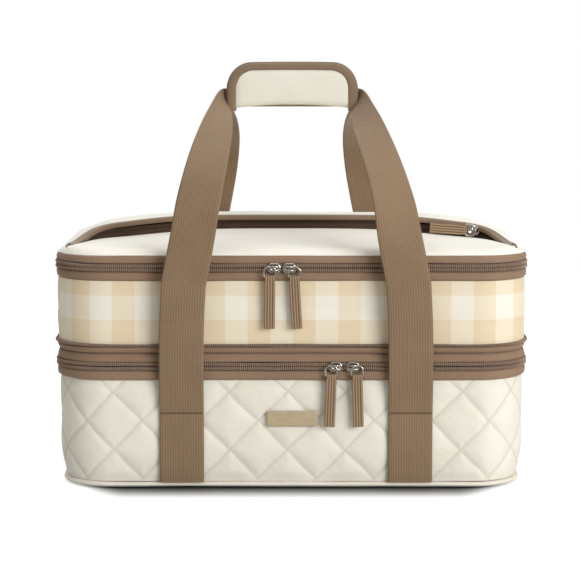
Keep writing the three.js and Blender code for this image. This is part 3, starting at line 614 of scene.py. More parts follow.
def make_base():
    def welt(along):
        low, high = seam(along, 1.3), seam(along, WELT_TOP)
        swell = 3.4 + ripple(along, 2.2, 0.1)
        middle = -2.4 - base_draw(along, WELT_TOP)
        turns = [2 * math.pi * k / 12 for k in range(12)]
        mid, half = (low + high) / 2, (high - low) / 2
        ring = [(middle + swell * math.cos(t), mid + half * math.sin(t)) for t in turns]
        return section(along, *ring)

    piping = girth_band("base_piping", welt, FINISH["quilt"])
    fit(piping, "tub", "quilted_cloth", "base_welt")
    under = plan_pad("base_cloth", 11.0, 0.05, 3.0, 0.3, FINISH["quilt"])
    fit(under, "tub", "quilted_cloth", "base_panel")
    dress(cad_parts["base_board"], FINISH["board"])
    along = girth(step=4)
    points, out = outline_at(along, 0.35 - base_draw(along, WELT_TOP))
    points[:, 2] = seam(along, WELT_TOP) - 0.3
    ring = [np.concatenate([rows, rows[:1]]) for rows in (points, out)]
    stitches = repeat("base_stitches", STITCH_TREE, [ring], FINISH["pale_thread"], Pitch=3.4, Length=2.5,
                      Thread=0.5)
    fit(stitches, "tub", "quilted_cloth")


def plan_pad(name, inset, low, high, crown, material):
    """A closed pad that fills the body's plan inside an inset, with rounded rims and a crowned top."""
    rim = outline_at(girth(step=6), -inset)[0]
    edge = (high - low) / 2
    shares = (0.96, 0.88, 0.72, 0.5, 0.25, 0.08)
    levels = [(s, low) for s in shares[::-1]]
    levels += [(0.99, low), (0.998, low + 0.4 * edge), (1.0, low + edge)]
    levels += [(0.998, high - 0.4 * edge), (0.99, high)]
    levels += [(s, high + crown * (1 - s**4)) for s in shares]
    rings = [np.concatenate([rim[:, :2] * s, np.full((len(rim), 1), z)], 1) for s, z in levels]
    return stack(name, rings, [0, 1], material)


# Quilted wall


QUILT_COLUMNS, QUILT_CELL, QUILT_FINE = 27, 16, 2
QUILT_X, QUILT_Z, QUILT_RISE = -3.5, 84.0, 50.5
QUILT_WIDE = 2 * HALF_GIRTH / QUILT_COLUMNS
QUILT_GAP = QUILT_WIDE * QUILT_RISE / math.hypot(QUILT_WIDE, QUILT_RISE)
QUILT_DEPTH, QUILT_THICK = 2.2, 5.0
QUILT_MOST, QUILT_HELD = 3.3, 1.35
CLOTH_FRAMES = 20


def simulate(name, points, faces, pinned, pressure, stretch, slack):
    """Inflates a sheet of cloth with its pinned points held, and gives where its points end."""
    mesh = bpy.data.meshes.new(name)
    mesh.from_pydata((points * MM).tolist(), [], faces)
    sheet = new_object(name, mesh)
    group = sheet.vertex_groups.new(name="sewn")
    group.add([int(v) for v in np.flatnonzero(pinned)], 1.0, "REPLACE")
    cloth = sheet.modifiers.new("cloth", "CLOTH")
    settings = cloth.settings
    settings.quality = 5
    settings.mass = 0.25
    settings.tension_stiffness = settings.compression_stiffness = stretch
    settings.shear_stiffness = stretch / 2
    settings.bending_stiffness = 0.2
    settings.vertex_group_mass = "sewn"
    settings.use_pressure = True
    settings.uniform_pressure_force = pressure
    settings.shrink_min = -slack
    settings.effector_weights.gravity = 0
    cloth.collision_settings.use_collision = False
    cloth.point_cache.frame_start, cloth.point_cache.frame_end = 1, CLOTH_FRAMES
    scene = bpy.context.scene
    for step in range(1, CLOTH_FRAMES + 1):
        scene.frame_set(step)
    graph = bpy.context.evaluated_depsgraph_get()
    moved = sheet.evaluated_get(graph).to_mesh()
    found = np.zeros(len(points) * 3, np.float32)
    moved.vertices.foreach_get("co", found)
    sheet.modifiers.remove(cloth)
    bpy.data.objects.remove(sheet)
    scene.frame_set(1)
    return found.reshape(-1, 3).astype(float) / MM


def quilt_lattice(cell):
    """Columns and rows of a lattice with points on the seams, and its places across both sets of seams."""
    columns = QUILT_COLUMNS * cell
    i = np.arange(columns) - columns // 2
    along = QUILT_X + i * QUILT_WIDE / cell
    low, high = WELT_TOP + GAP, QUILT_TOP - 0.1
    first, last = ((z - QUILT_Z) / QUILT_RISE * cell for z in (low, high))
    k = np.arange(math.ceil(first + 0.3), last - 0.3)
    z = np.concatenate([[low], QUILT_Z + k * QUILT_RISE / cell, [high]])
    up = (z - QUILT_Z) / QUILT_RISE
    return along, z, i[None] / cell + up[:, None], i[None] / cell - up[:, None]


def on_seam(place):
    return np.abs(place - np.round(place)) < 1e-6


def from_hems(z, reach):
    """Share of the way in from the wall's upper and lower hems, up to a reach."""
    return np.clip(np.minimum(z - z[0], z[-1] - z) / reach, 0, 1)[:, None]


def blow_quilt():
    """How far the simulated padding lifts the cloth off its seams, on the coarse lattice."""
    along, z, p, q = quilt_lattice(QUILT_CELL)
    rows, columns = p.shape
    inside = np.abs(np.sin(math.pi * p) * np.sin(math.pi * q))
    sewn = inside < 1e-6
    sewn[[0, -1]] = True
    puff = 2.6 * inside**0.5 * from_hems(z, 9) ** 0.7
    base, out = outline_at(along)
    flat = np.broadcast_to(base[None], (rows, columns, 3)).copy()
    flat[..., 2] = z[:, None]
    away = np.broadcast_to(out[None], flat.shape)
    start = flat + away * (0.85 * puff - QUILT_DEPTH)[..., None]
    i, j = np.arange(rows - 1)[:, None], np.arange(columns)[None]
    beside = (j + 1) % columns
    faces = [i * columns + j, i * columns + beside, (i + 1) * columns + beside, (i + 1) * columns + j]
    faces = cut_quads(np.stack(faces, -1).reshape(-1, 4), on_seam(q[:-1]).ravel()).reshape(-1, 3).tolist()
    blown = simulate("quilt_cloth", start.reshape(-1, 3), faces, sewn.ravel(), 14.0, 14.0, 0.025)
    lift = ((blown.reshape(rows, columns, 3) - flat) * away).sum(-1) + QUILT_DEPTH
    return along, z, np.clip(lift, 0, 4)


def refine_lift(along, z):
    """The simulated lift on the fine lattice, smoothed once each way."""
    coarse_along, coarse_z, lift = blow_quilt()
    wide = np.concatenate([lift, lift[:, :1]], 1)
    span = np.append(coarse_along, coarse_along[0] + 2 * HALF_GIRTH)
    lift = np.stack([np.interp(along, span, row) for row in wide])
    lift = np.stack([np.interp(z, coarse_z, column) for column in lift.T], 1)
    for axis in (0, 1):
        lift = (np.roll(lift, 1, axis) + np.roll(lift, -1, axis) + 2 * lift) / 4
    return lift


def held_down(base, z):
    """Share by which the straps and the label press on the wall."""
    x, front = base[:, 0][None], base[:, 1] < 0
    shift = np.where(front, STRAP_SHIFT["front"], STRAP_SHIFT["rear"])[None]
    stand = np.where(front, STRAP_X, STRAP_X - STRAP_IN["rear"])[None]
    strap = np.clip(1 - (np.abs(np.abs(x - shift) - stand) - 17) / 9, 0, 1)
    strap = strap * (np.abs(base[:, 1]) > 150)[None]
    strap = strap * np.clip((z - 3) / 4, 0, 1) * np.clip(1 - (z - 74) / 16, 0, 1)
    label = np.clip(1 - (np.abs(x - LABEL_X) - 20) / 6, 0, 1)
    label = label * np.clip(1 - (np.abs(z - LABEL_Z) - 6) / 5, 0, 1)
    return np.maximum(strap, label * front[None])


def make_quilted_wall():
    along, z, p, q = quilt_lattice(QUILT_CELL * QUILT_FINE)
    rows, columns = p.shape
    lift = refine_lift(along, z)
    run, up = along[None], z[:, None]

    # The seams draw the cloth down in narrow grooves, with puckers that run out of them.
    to_p, to_q = np.abs(p - np.round(p)) * QUILT_GAP, np.abs(q - np.round(q)) * QUILT_GAP
    near = np.minimum(to_p, to_q)
    draw = 1 - np.exp(-near / 1.8)
    pucker = 0
    for gap, line, way in ((to_p, np.round(p), q), (to_q, np.round(q), p)):
        turn = 2 * math.pi * way * QUILT_GAP / 7.5 + 2.4 * np.sin(way * 5.1 + line * 2.3) + line * 1.7
        pucker = pucker + np.sin(turn) * np.exp(-gap / 5.0) * (0.6 + 0.4 * np.sin(way * 9.7 + line * 3.1))
    rise = 0.2 * lift + 1.0 * (1 - np.exp(-near / 2.6)) + 0.2 * pucker
    rise = rise * draw * from_hems(z, 7) ** 0.6

    # The quilting is guided by hand, so its lines wander a little along and up.
    def sway(*waves):
        drift = sum(ripple(a * run + b * up, seed, size) for a, b, seed, size in waves)
        return from_hems(z, 12) * drift

    wander = sway((3.1, 2.2, 0.7, 0.8), (2.0, -3.3, 2.9, 0.6))
    climb = sway((2.6, -1.9, 4.4, 0.7), (1.7, 3.9, 1.9, 0.5))
    flat, away = outline_at(run + wander, -base_draw(run + wander, up + climb))
    flat[..., 2] = up + climb

    # The puffs are lower at the sides, and are held down under the straps and the label.
    base, out = outline_at(along)
    rise = np.clip(rise * (1 - 0.4 * np.abs(out[:, 0])[None] ** 2), 0, None)
    most = QUILT_MOST - QUILT_HELD * held_down(base, up)
    bent, rest = 0.6 * most, 0.4 * most
    rise = np.where(rise > bent, bent + rest * np.tanh((rise - bent) / rest), rise)
    face = flat + away * (rise - QUILT_DEPTH)[..., None]
    back = np.linspace(rows - 1, 0, 9).astype(int)
    inner = flat[back] - away[back] * QUILT_THICK
    points = np.concatenate([face, inner], 0)
    wide = np.append(along, along[0] + 2 * HALF_GIRTH)
    tall = np.concatenate([z, 2 * z[-1] + 6 - z[back], [2 * z[-1] + 12 - z[0]]])
    uv = np.stack(np.meshgrid(tall, wide, indexing="ij")[::-1], -1)
    split = np.zeros((len(points), columns), bool)
    split[: rows - 1] = on_seam(q[:-1])
    wall = skin("quilted_wall", points, uv, FINISH["quilt"], wrap_rows=True, wrap_columns=True, crease=75,
                split=split)
    # Painted shade: how much the cloth's colour darkens near the seam lines, read by the quilted finish.
    depth = np.concatenate([np.exp(-near / 0.85), 0 * near[back]]).astype(np.float32)
    wall.data.attributes.new("seam", "FLOAT", "POINT").data.foreach_set("value", depth.ravel())
    fit(wall, "tub", "quilted_cloth", "lower_wall", padded=0.5)

    lifted = face + away * 0.1
    cell = QUILT_CELL * QUILT_FINE
    k = np.arange(1, rows - 1)
    row = np.round((z[k] - QUILT_Z) / QUILT_RISE * cell).astype(int)
    seams = []
    for start in range(0, columns, cell):
        for lean in (1, -1):
            column = (start + columns // 2 + lean * row) % columns
            seams.append((lifted[k, column], away[k, column]))
    stitches = repeat("quilt_stitches", STITCH_TREE, seams, FINISH["quilt_thread"], Pitch=3.6, Length=2.7,
                      Thread=0.4)
    fit(stitches, "tub", "quilted_cloth")


# Gingham tier


LINING_OUTER, LINING_INNER = -6.3, -7.5


def make_gingham():
    def wall(along):
        low, high = seam(along, GINGHAM_BASE) - 3.0, seam(along, GINGHAM_TOP) - 0.2
        points = []
        for share in np.linspace(0, 1, 15):
            bow = math.sin(math.pi * share)
            bulge = 0.9 * bow**0.7 + ripple(along, 5 + 2 * share, 0.55) * bow
            points.append((bulge - 0.5, low + (high - low) * share))
        points += [(-2.6, high), (-2.6, (low + high) / 2), (-2.6, low)]
        return section(along, *points)

    cloth = girth_band("gingham_cloth", wall, FINISH["gingham"])
    keep_height_uv(cloth)
    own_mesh(cloth)
    fit(cloth, "upper", "gingham_cloth", "gingham_wall")

    def lining(along):
        low, high = LOWER_CHAIN + CHAIN / 2 + 6 + 2 * GAP, TOP_CHAIN - CHAIN / 2
        points = [(LINING_OUTER, low), (LINING_OUTER, high), (LINING_INNER + 0.1, high)]
        for share in np.linspace(1, 0, 9)[1:-1]:
            slack = ripple(along, 9 + share, 0.5) * math.sin(math.pi * share)
            points.append((LINING_INNER - slack, low + (high - low) * share))
        return section(along, *points, (LINING_INNER + 0.1, low))

    inner = girth_band("upper_foil", lining, FINISH["foil"])
    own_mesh(inner)
    fit(inner, "upper", "foil_lining", "upper_liner")


def keep_height_uv(piece):
    """Sets the second UV of a girth band to the height above the floor."""
    layer = piece.data.uv_layers[0]
    for loop in piece.data.loops:
        layer.data[loop.index].uv[1] = piece.data.vertices[loop.vertex_index].co.z


# Zip bands


def tape_band(name, low, high, lean, body, stands_for, hinge=None, fall=0):
    """A zip tape sewn round the body.

    lean is how far out its lower and upper edges stand, hinge the height that its chain edge goes to at
    the sewn rear, and fall how far its upper edge falls to the rear.
    """

    def profile(along):
        y = outline_at(along)[0][:, 1]
        z0, z1 = seam(along, low), seam(along, high) - fall * (y / BODY_DEPTH + 0.5)
        rear = np.clip((np.abs(along) - ZIP_END) / 2, 0, 1)
        if hinge is not None and hinge > high:
            z1 = z1 + rear * (hinge - high)
        elif hinge is not None:
            z0 = z0 + rear * (hinge - low)
        points = []
        for share in (0, 0.03, 0.08, 0.16, 0.3, 0.5, 0.7, 0.84, 0.92, 0.97, 1):
            round_in = 1.6 * abs(2 * share - 1) ** 7
            out = lean[0] + (lean[1] - lean[0]) * share + 0.25 * math.sin(math.pi * share) - round_in
            points.append((out + ripple(along, low + share, 0.12), z0 + (z1 - z0) * share))
        points += [(lean[1] - 2.0, z1), (lean[0] - 2.0, z0)]
        return section(along, *points)

    tape = girth_band(name, profile, FINISH["tape"], crease=60)
    fit(tape, body, "zip_tape", stands_for)


def coil_half(name, low, high, body, stands_for, out=0.6, bed="cord_edge"):
    """Half of a zip's chain: the tape's corded edge and its row of coil turns."""
    mid = (low + high) / 2

    def cord(along):
        z = seam(along, mid)
        half = (high - low) / 2 - 0.12
        return section(along, (out, z - half), (out + 0.45, z - 0.5 * half), (out + 0.45, z + 0.5 * half),
                       (out, z + half), (-2.0, z + half), (-2.0, z - half))

    cord_bed = girth_band(name + "_bed", cord, FINISH[bed], run=ZIP_END)
    fit(cord_bed, body, "zip_tape", stands_for)
    along = girth(ZIP_END, 2.0)
    points, away = outline_at(along, out + 0.1)
    points[:, 2] = seam(along, mid)
    row = repeat(name + "_coil", COIL_TREE, [(points, away)], FINISH["coil"], Pitch=1.75,
                 Row=high - low - 0.9, Rise=1.0, Wire=0.5)
    fit(row, body, "zip_chain")


def make_zips():
    half, slit = CHAIN / 2, 0.1
    tape_band("lower_tape_below", QUILT_TOP + slit, LOWER_CHAIN - half - slit, (0.6, 0.9), "tub",
              "lower_zip_tape_below", LOWER_CHAIN - slit)
    tape_band("lower_tape_above", LOWER_CHAIN + half + slit, FOLD - slit, (1.0, -0.9), "middle",
              "lower_zip_tape_above", LOWER_CHAIN + slit)
    tape_band("expansion_tape_cloth", FOLD + slit, LIP, (-0.9, 1.2), "middle", "expansion_tape")
    tape_band("top_tape_below", GINGHAM_TOP, TOP_CHAIN - half - slit, (0.7, 0.9), "upper",
              "top_zip_tape_below", TOP_CHAIN - slit)
    tape_band("top_tape_above", TOP_CHAIN + half + slit, LID_EDGE, (0.9, 0.5), "lid",
              "top_zip_tape_above", TOP_CHAIN + slit, fall=LID_FALL)
    for zip_name, chain, below, above in (("lower", LOWER_CHAIN, "tub", "middle"),
                                          ("top", TOP_CHAIN, "upper", "lid")):
        coil_half(f"{zip_name}_chain_below", chain - half, chain - slit, below, f"{zip_name}_zip_chain_below")
        coil_half(f"{zip_name}_chain_above", chain + slit, chain + half, above, f"{zip_name}_zip_chain_above")
    # The expansion lip's coil sits on the dark tape, a painted shade behind and under its coil row.
    coil_half("expansion_lip", LIP + slit, LIP + 2.7, "middle", "expansion_teeth_below", out=1.2,
              bed="dark_tape")

    def mate(along):
        low, high = GINGHAM_TOP - 2.8, GINGHAM_TOP - 0.4
        return section(along, (-1.2, low), (-0.9, (low + high) / 2), (-1.2, high), (-2.0, high), (-2.0, low))

    hidden = girth_band("expansion_mate", mate, FINISH["dark_tape"], run=ZIP_END - 1)
    fit(hidden, "upper", "zip_chain", "expansion_teeth_above")


# Lining


def make_linings():
    def wall(along):
        low, high = 6.0, QUILT_TOP - 0.2
        rise = np.linspace(0, 1, 13)
        points = [(LINING_OUTER - base_draw(along, z), z) for z in low + (high - low) * rise]
        for share in rise[::-1]:
            z = low + (high - low) * share
            slack = ripple(along, 3 + share, 0.5) * math.sin(math.pi * share)
            points.append((LINING_INNER - slack - base_draw(along, z), z))
        return section(along, *points)

    side = girth_band("lower_foil_wall", wall, FINISH["foil"])
    fit(side, "tub", "foil_lining", "lower_liner")
    floor = plan_pad("lower_foil_floor", 7.6, 5.7, 6.8, 0.25, FINISH["foil"])
    fit(floor, "tub", "foil_lining")
    divider = plan_pad("divider_pad", 2.3, 110.1, 115.7, 0.6, FINISH["foil"])
    fit(divider, "middle", "foil_lining", "divider_panel", padded=0.6)
    lining = plan_pad("lid_foil", 8.1, 191.5, 194.3, 0.0, FINISH["foil"])
    fit(lining, "lid", "foil_lining", "lid_lining", padded=0.4)


# Lid


POCKET_Y, POCKET_STRAIGHT, POCKET_END_X, POCKET_END_Y = -25.0, 155.0, 191.0, -128.0
BINDING_DEPTH, LIP_HEIGHT = 8.0, 4.3
PANEL_THICKNESS = 1.8
PANEL_LEVELS = np.array([0, 0.004, 0.012, 0.03, 0.06, 0.1, 0.16, 0.23, 0.31, 0.4, 0.5, 0.6, 0.7, 0.79, 0.87,
                         0.93, 0.97, 1])
FLAP_LEVELS = np.array([0, 0.05, 0.12, 0.2, 0.3, 0.4, 0.5, 0.6, 0.68, 0.75, 0.81, 0.86, 0.9, 0.93, 0.955,
                        0.975, 0.988, 0.995, 0.998, 1])


def lid_edge(y):
    """Height of the lid's sewn edge, which falls from the front to the rear."""
    return LID_EDGE - LID_FALL * (np.asarray(y) / BODY_DEPTH + 0.5)


def curve(at, keys, values):
    """A smooth curve through key values."""
    keys, values = np.asarray(keys, float), np.asarray(values, float)
    slope = np.gradient(values, keys)
    at = np.clip(at, keys[0], keys[-1])
    k = np.clip(np.searchsorted(keys, at) - 1, 0, len(keys) - 2)
    step = keys[k + 1] - keys[k]
    t = (at - keys[k]) / step
    start = (1 + 2 * t) * (1 - t) ** 2 * values[k] + t * (1 - t) ** 2 * step * slope[k]
    return start + t**2 * (3 - 2 * t) * values[k + 1] + t**2 * (t - 1) * step * slope[k + 1]


def inset_of(x, y):
    """Distance inside the body's outline, with soft ridges where the sides meet."""
    qx, qy = np.abs(x) - (BODY_WIDTH / 2 - CORNER), np.abs(y) - (BODY_DEPTH / 2 - CORNER)
    soft = 14.0
    ridge = np.maximum(soft * np.logaddexp(qx / soft, qy / soft), np.maximum(qx, qy))
    reach = np.hypot(np.maximum(qx, 0), np.maximum(qy, 0))
    return CORNER - np.where((qx > 0) & (qy > 0), reach, ridge)


def panel_height(x, y):
    """Height of the low front panel of the lid."""
    inset = np.clip(inset_of(x, y), 0, None)
    rise = curve(inset, [0, 4.4, 20.4, 45.2, 80.4, 152.5], [-2.6, 0.8, 2.0, 3.1, 6.5, 13.6])
    return lid_edge(y) + 2 * GAP + PANEL_THICKNESS + rise


def flap_height(x, y):
    """Height of the puffed rear flap of the lid."""
    inset = np.clip(inset_of(x, y), 0, None)
    steps = [0, 3, 10.1, 23.1, 36.1, 54.1, 85.4, 152.5]
    rise = curve(inset, steps, [0, 1.8, 5.0, 12.6, 16.1, 18.6, 22.2, 25.2])
    loss = curve(inset, steps, [0, 0.7, 1.8, 4.6, 4.4, 2.9, 2.2, 2.2])
    back = np.clip((y - POCKET_Y) / (BODY_DEPTH / 2 - POCKET_Y), 0, 1)
    return lid_edge(y) + GAP + rise - loss * back


def mouth_at(share, offset):
    """The pocket mouth from above, share -1 to 1 from its left end to its right, moved back by an offset."""
    wide, deep = POCKET_END_X - POCKET_STRAIGHT, POCKET_Y - POCKET_END_Y
    turn = np.linspace(0, math.pi / 2, 60)
    steps = np.hypot(np.diff(wide * np.sin(turn)), np.diff(deep * np.cos(turn)))
    steps = np.concatenate([[0, POCKET_STRAIGHT], POCKET_STRAIGHT + np.cumsum(steps)])
    run = np.abs(share) * steps[-1]
    turn = np.interp(run, steps, np.concatenate([[0], turn]))
    x = np.minimum(run, POCKET_STRAIGHT) + (wide + offset) * np.sin(turn)
    return np.where(share < 0, -1, 1) * x, POCKET_END_Y + (deep + offset) * np.cos(turn)


def lip_depth(share):
    """Depth of the bound lip, which narrows to a point at the ends of the mouth."""
    return BINDING_DEPTH * (1 - 0.86 * np.clip((np.abs(share) - 0.76) / 0.24, 0, 1) ** 1.6)


def dent(x, y, middle, size, depth):
    """A soft hollow in the cloth."""
    return -depth * np.exp(-(((x - middle[0]) / size[0]) ** 2 + ((y - middle[1]) / size[1]) ** 2))


def lid_sheet(name, start, stop, levels, height, thickness, stands_for, fill):
    """Cloth that spans the lid from one edge to another; height gives z from x, y and the cloth's slack."""
    x, y = (a[:, None] + (b - a)[:, None] * levels for a, b in zip(start, stop))
    slack = np.sin(math.pi * levels)[None] ** 0.6
    points = np.stack([x, y, height(x, y, slack)], -1)
    sheet = skin(name, points, points[..., :2], FINISH["lid"], open_sheet=True, crease=80)
    finish_sheet(sheet, thickness)
    fit(sheet, "lid", "lid_cloth", stands_for, padded=fill)


def make_lid():
    dress(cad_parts["lid_core"], FINISH["lid"])
    end = FRONT_RUN + 0.68 * TURN_RUN

    # Front pocket panel, from the seam above the zip to the pocket mouth.
    share = np.linspace(-1, 1, 201)
    front = outline_at(share * end, np.full(share.shape, -0.9))[0]

    def panel(x, y, slack):
        wave = ripple(x * 1.3 + y * 0.4, 4.1, 0.9) * slack + 0.5 * slack
        dents = dent(x, y, (62, -92), (30, 34), 3.2) + dent(x, y, (-78, -80), (26, 30), 1.6)
        rim = -1.2 * np.exp(-PANEL_LEVELS / 0.006)[None]
        return panel_height(x, y) + wave + dents * slack + rim

    lid_sheet("pocket_panel_cloth", front.T[:2], mouth_at(share, -0.3), PANEL_LEVELS, panel, 1.5,
              "pocket_panel", 0.3)

    # Puffed flap, from the bound mouth back and out to the seam at the sides and rear.
    share = np.linspace(-1, 1, 241)
    back = outline_at(HALF_GIRTH - share * (HALF_GIRTH - end), np.full(share.shape, -0.35))[0]

    def flap(x, y, slack):
        z = flap_height(x, y) + ripple(x + 0.7 * y, 1.3, 0.7) * slack
        return np.where(FLAP_LEVELS[None] > 0.999, lid_edge(y) + 0.2, z)

    lid_sheet("flap_cloth", mouth_at(share, lip_depth(share) - 0.4), back.T[:2], FLAP_LEVELS, flap, 3.0,
              "lid_flap", 0.6)
    make_mouth()


def finish_sheet(piece, thickness):
    """Faces a sheet up, gives it thickness below and rounds it."""
    mesh = piece.data
    if sum(p.normal.z * p.area for p in mesh.polygons) < 0:
        mesh.flip_normals()
    solid = piece.modifiers.new("thickness", "SOLIDIFY")
    solid.thickness = thickness * MM
    solid.offset = -1
    smooth = piece.modifiers.new("smooth", "SUBSURF")
    smooth.levels = smooth.render_levels = 1


def make_mouth():
    """The pocket's mouth: bound lip of the flap, and the zip that closes the gap under it."""
    share = np.linspace(-0.98, 0.98, 261)
    x, y = mouth_at(share, 0)
    depth = lip_depth(share)
    bx, by = mouth_at(share, depth)
    back = unit_rows(np.stack([bx - x, by - y, np.zeros_like(x)], -1))
    up = np.broadcast_to([0.0, 0.0, 1.0], back.shape)
    top = flap_height(bx, by) + 0.35
    floor = panel_height(x, y) - PANEL_THICKNESS + 1.6
    low = np.minimum(np.maximum(top - LIP_HEIGHT, floor), top - 1.2)
    fold = ((8.3, 1.02), (4.5, 1.0), (1.2, 0.97), (0.25, 0.84), (0.0, 0.55), (0.2, 0.2), (0.8, 0.02),
            (2.5, 0.0), (6.0, 0.12), (8.3, 0.3))
    profile = [np.stack([a / BINDING_DEPTH * depth, b * (top - low)], -1) for a, b in fold]
    lip = sweep("flap_lip", np.stack([x, y, low], -1), back, up, np.stack(profile, 1), FINISH["binding"],
                crease=50)
    fit(lip, "lid", "edge_binding", "flap_binding")

    # The closed pocket zip stands back between the panel's edge and the flap's underside, in the lip's shade.
    # Its tape and coil are darker than the other zips': partly their own colour, partly painted shade for the
    # gap.
    zip_share = share * 0.985
    x, y = mouth_at(zip_share, 1.6)
    tx, ty = mouth_at(zip_share, 1.6 + lip_depth(zip_share))
    base = panel_height(x, y) - PANEL_THICKNESS + 0.5
    head = np.maximum(np.minimum(flap_height(tx, ty) - 3.4, base + 8.6), base + 1.0)
    foot = np.stack([x, y, base], -1)
    rise = np.stack([tx - x, ty - y, head - base], -1)
    tall = np.linalg.norm(rise, axis=1)
    rise = unit_rows(rise)
    face = unit_rows(np.cross(rise, np.gradient(foot, axis=0)))
    face *= np.where(face[:, 1:2] > 0, -1, 1)
    band = ((0, 0), (0.5, 0.03), (0.5, 0.97), (0, 1.0), (-0.6, 1.0), (-0.6, 0))
    profile = [np.stack([b * tall, np.full(x.shape, a)], -1) for a, b in band]
    tape = sweep("pocket_tape", foot, rise, face, np.stack(profile, 1), FINISH["dark_tape"], crease=50)
    fit(tape, "lid", "zip_tape", "pocket_zip_tape")
    inside = slice(8, -8)
    rows = []
    for at in (0.3, 0.48):
        line = foot + rise * (at * tall)[:, None] + face * 0.5
        rows.append((line[inside], face[inside]))
    coil = repeat("pocket_coil", COIL_TREE, rows, FINISH["dark_coil"], Pitch=1.75, Row=1.4, Rise=0.6,
                  Wire=0.4)
    fit(coil, "lid", "zip_chain")


# Webbing


STRAP_PART_Z = 148.0
GRIP_X, GRIP_Y, GRIP_TOP, GRIP_BOTTOM, GRIP_WIDTH = 0.8, -20.0, 361.0, 320.0, 118.0
GRIP_LAYER, GRIP_STRAP_Z, GRIP_STRAP_WIDTH, GRIP_STRAP_THICK = 2.8, 330.0, 16.0, 3.2

# Half a handle from the fold to the grip's middle, in shares: how far in towards the grip, how far up,
# turned on edge, folded to its narrow width, and twisted.
HANDLE_KEYS = (
    (0, 0, 0, 0, 0), (-0.006, 0.15, 0.02, 0, 0.1), (-0.003, 0.29, 0.03, 0, 0.3), (0.03, 0.447, 0.04, 0, 0.6),
    (0.12, 0.596, 0.07, 0.05, 0.85), (0.3, 0.731, 0.14, 0.2, 1), (0.55, 0.852, 0.26, 0.45, 1),
    (0.8, 0.936, 0.42, 0.75, 0.8), (0.95, 0.982, 0.65, 0.95, 0.45), (1, 1, 0.92, 1, 0.15), (1, 1, 1, 1, 0),
    (1, 1, 1, 1, 0),
)
# How far each key stands out past the grip's end, as a share of what the fold does.
HANDLE_SPREAD = {
    "front": (1, 0.88, 0.77, 0.665, 0.52, 0.36, 0.2, 0.1, 0.075, 0.045, -0.04, -0.38),
    "rear": (1, 0.86, 0.7, 0.53, 0.39, 0.26, 0.16, 0.1, 0.07, 0.04, -0.04, -0.38),
}
# The front handle's free webbing turns its face outwards as it rises, by these degrees on right and left.
HANDLE_TWIST = {"front": (36, 16), "rear": (0, 0)}


def lower_strap_at(z, side):
    """Middle of a right-hand strap at a height up to the fold."""
    t = np.clip((z - BAR_TACK) / (STRAP_FOLD_Z - BAR_TACK), 0, 1)
    sewn = GAP + WEBBING_THICK / 2
    x = STRAP_X + (STRAP_FOLD_X - STRAP_X) * t**3
    out = BODY_DEPTH / 2 + sewn + (STRAP_OUT - sewn) * np.sin(t * math.pi / 2)
    return np.stack([x, side * out, z + 0 * t], -1)


def spline(keys, count):
    """Catmull-Rom points through rows of keys, count steps between each pair."""
    keys = np.asarray(keys, float)
    ends = np.concatenate([2 * keys[:1] - keys[1:2], keys, 2 * keys[-1:] - keys[-2:-1]])
    t = np.linspace(0, 1, count, endpoint=False)[:, None]
    found = []
    for a, b, c, d in zip(ends, ends[1:], ends[2:], ends[3:]):
        bend = (2 * a - 5 * b + 4 * c - d) * t**2 + (3 * b - a - 3 * c + d) * t**3
        found.append(0.5 * (2 * b + (c - a) * t + bend))
    return np.concatenate(found + [keys[-1:]])


def ribbon(name, middle, roll, width, thick, material, twist=0.0):
    """Flat webbing with rounded edges; roll turns its width from X towards Z, and twist towards Y."""
    run = unit_rows(np.gradient(middle, axis=0))
    across = np.stack([np.cos(roll), np.tan(twist) + 0 * roll, np.sin(roll)], -1)
    across = unit_rows(across - run * (across * run).sum(1)[:, None])
    flat, edge = np.linspace(-0.975, 0.975, 15), np.array([0.995, 1.0, 0.995])
    w = np.concatenate([flat, edge, -flat, -edge])
    t = np.concatenate([np.ones(15), [0.6, 0, -0.6], -np.ones(15), [-0.6, 0, 0.6]])
    profile = np.stack([width[:, None] / 2 * w, thick[:, None] / 2 * t], -1)
    return sweep(name, middle, across, np.cross(run, across), profile, material, crease=50)


def make_straps():
    sewn, free = np.linspace(WELT_TOP + 0.4, BAR_TACK, 22), np.linspace(BAR_TACK, STRAP_PART_Z, 30)
    z = np.concatenate([sewn, free[1:]])
    whole = np.ones(len(z))
    for end, side in (("front", -1), ("rear", 1)):
        for name, hand in (("left", -1), ("right", 1)):
            middle = lower_strap_at(z, side)
            middle[:, 0] = STRAP_SHIFT[end] + hand * (middle[:, 0] - STRAP_IN[end])
            slack = ripple(z * 6 + 40 * hand, 1.1 + side, 0.25) * np.clip((z - 70) / 30, 0, 1)
            middle[:, 1] += side * slack
            strap = ribbon(f"{end}_{name}_webbing", middle, 0 * whole, WEBBING * whole, WEBBING_THICK * whole,
                           FINISH["webbing"])
            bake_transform(strap)
            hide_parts(f"{end}_{name}_strap_base", f"{end}_{name}_strap")
            bar_tack(f"{end}_{name}_tack", STRAP_SHIFT[end] + hand * (STRAP_X - STRAP_IN[end]), side)
        handle_strap(end, side)


def bar_tack(name, x, side):
    """Two close lines of stitches across a strap, where it leaves the wall."""
    y = side * (BODY_DEPTH / 2 + GAP + WEBBING_THICK + 0.05)
    half = WEBBING / 2 - 1.6
    paths = []
    for lift in (0.0, 0.7):
        line = [(x + w, y, BAR_TACK - 1.0 + lift) for w in np.linspace(-half, half, 20)]
        paths.append((np.array(line), (0, side, 0)))
    tack = repeat(name, STITCH_TREE, paths, FINISH["brown_thread"], Pitch=1.5, Length=1.5, Thread=0.75)
    fit(tack, "tub", "webbing")


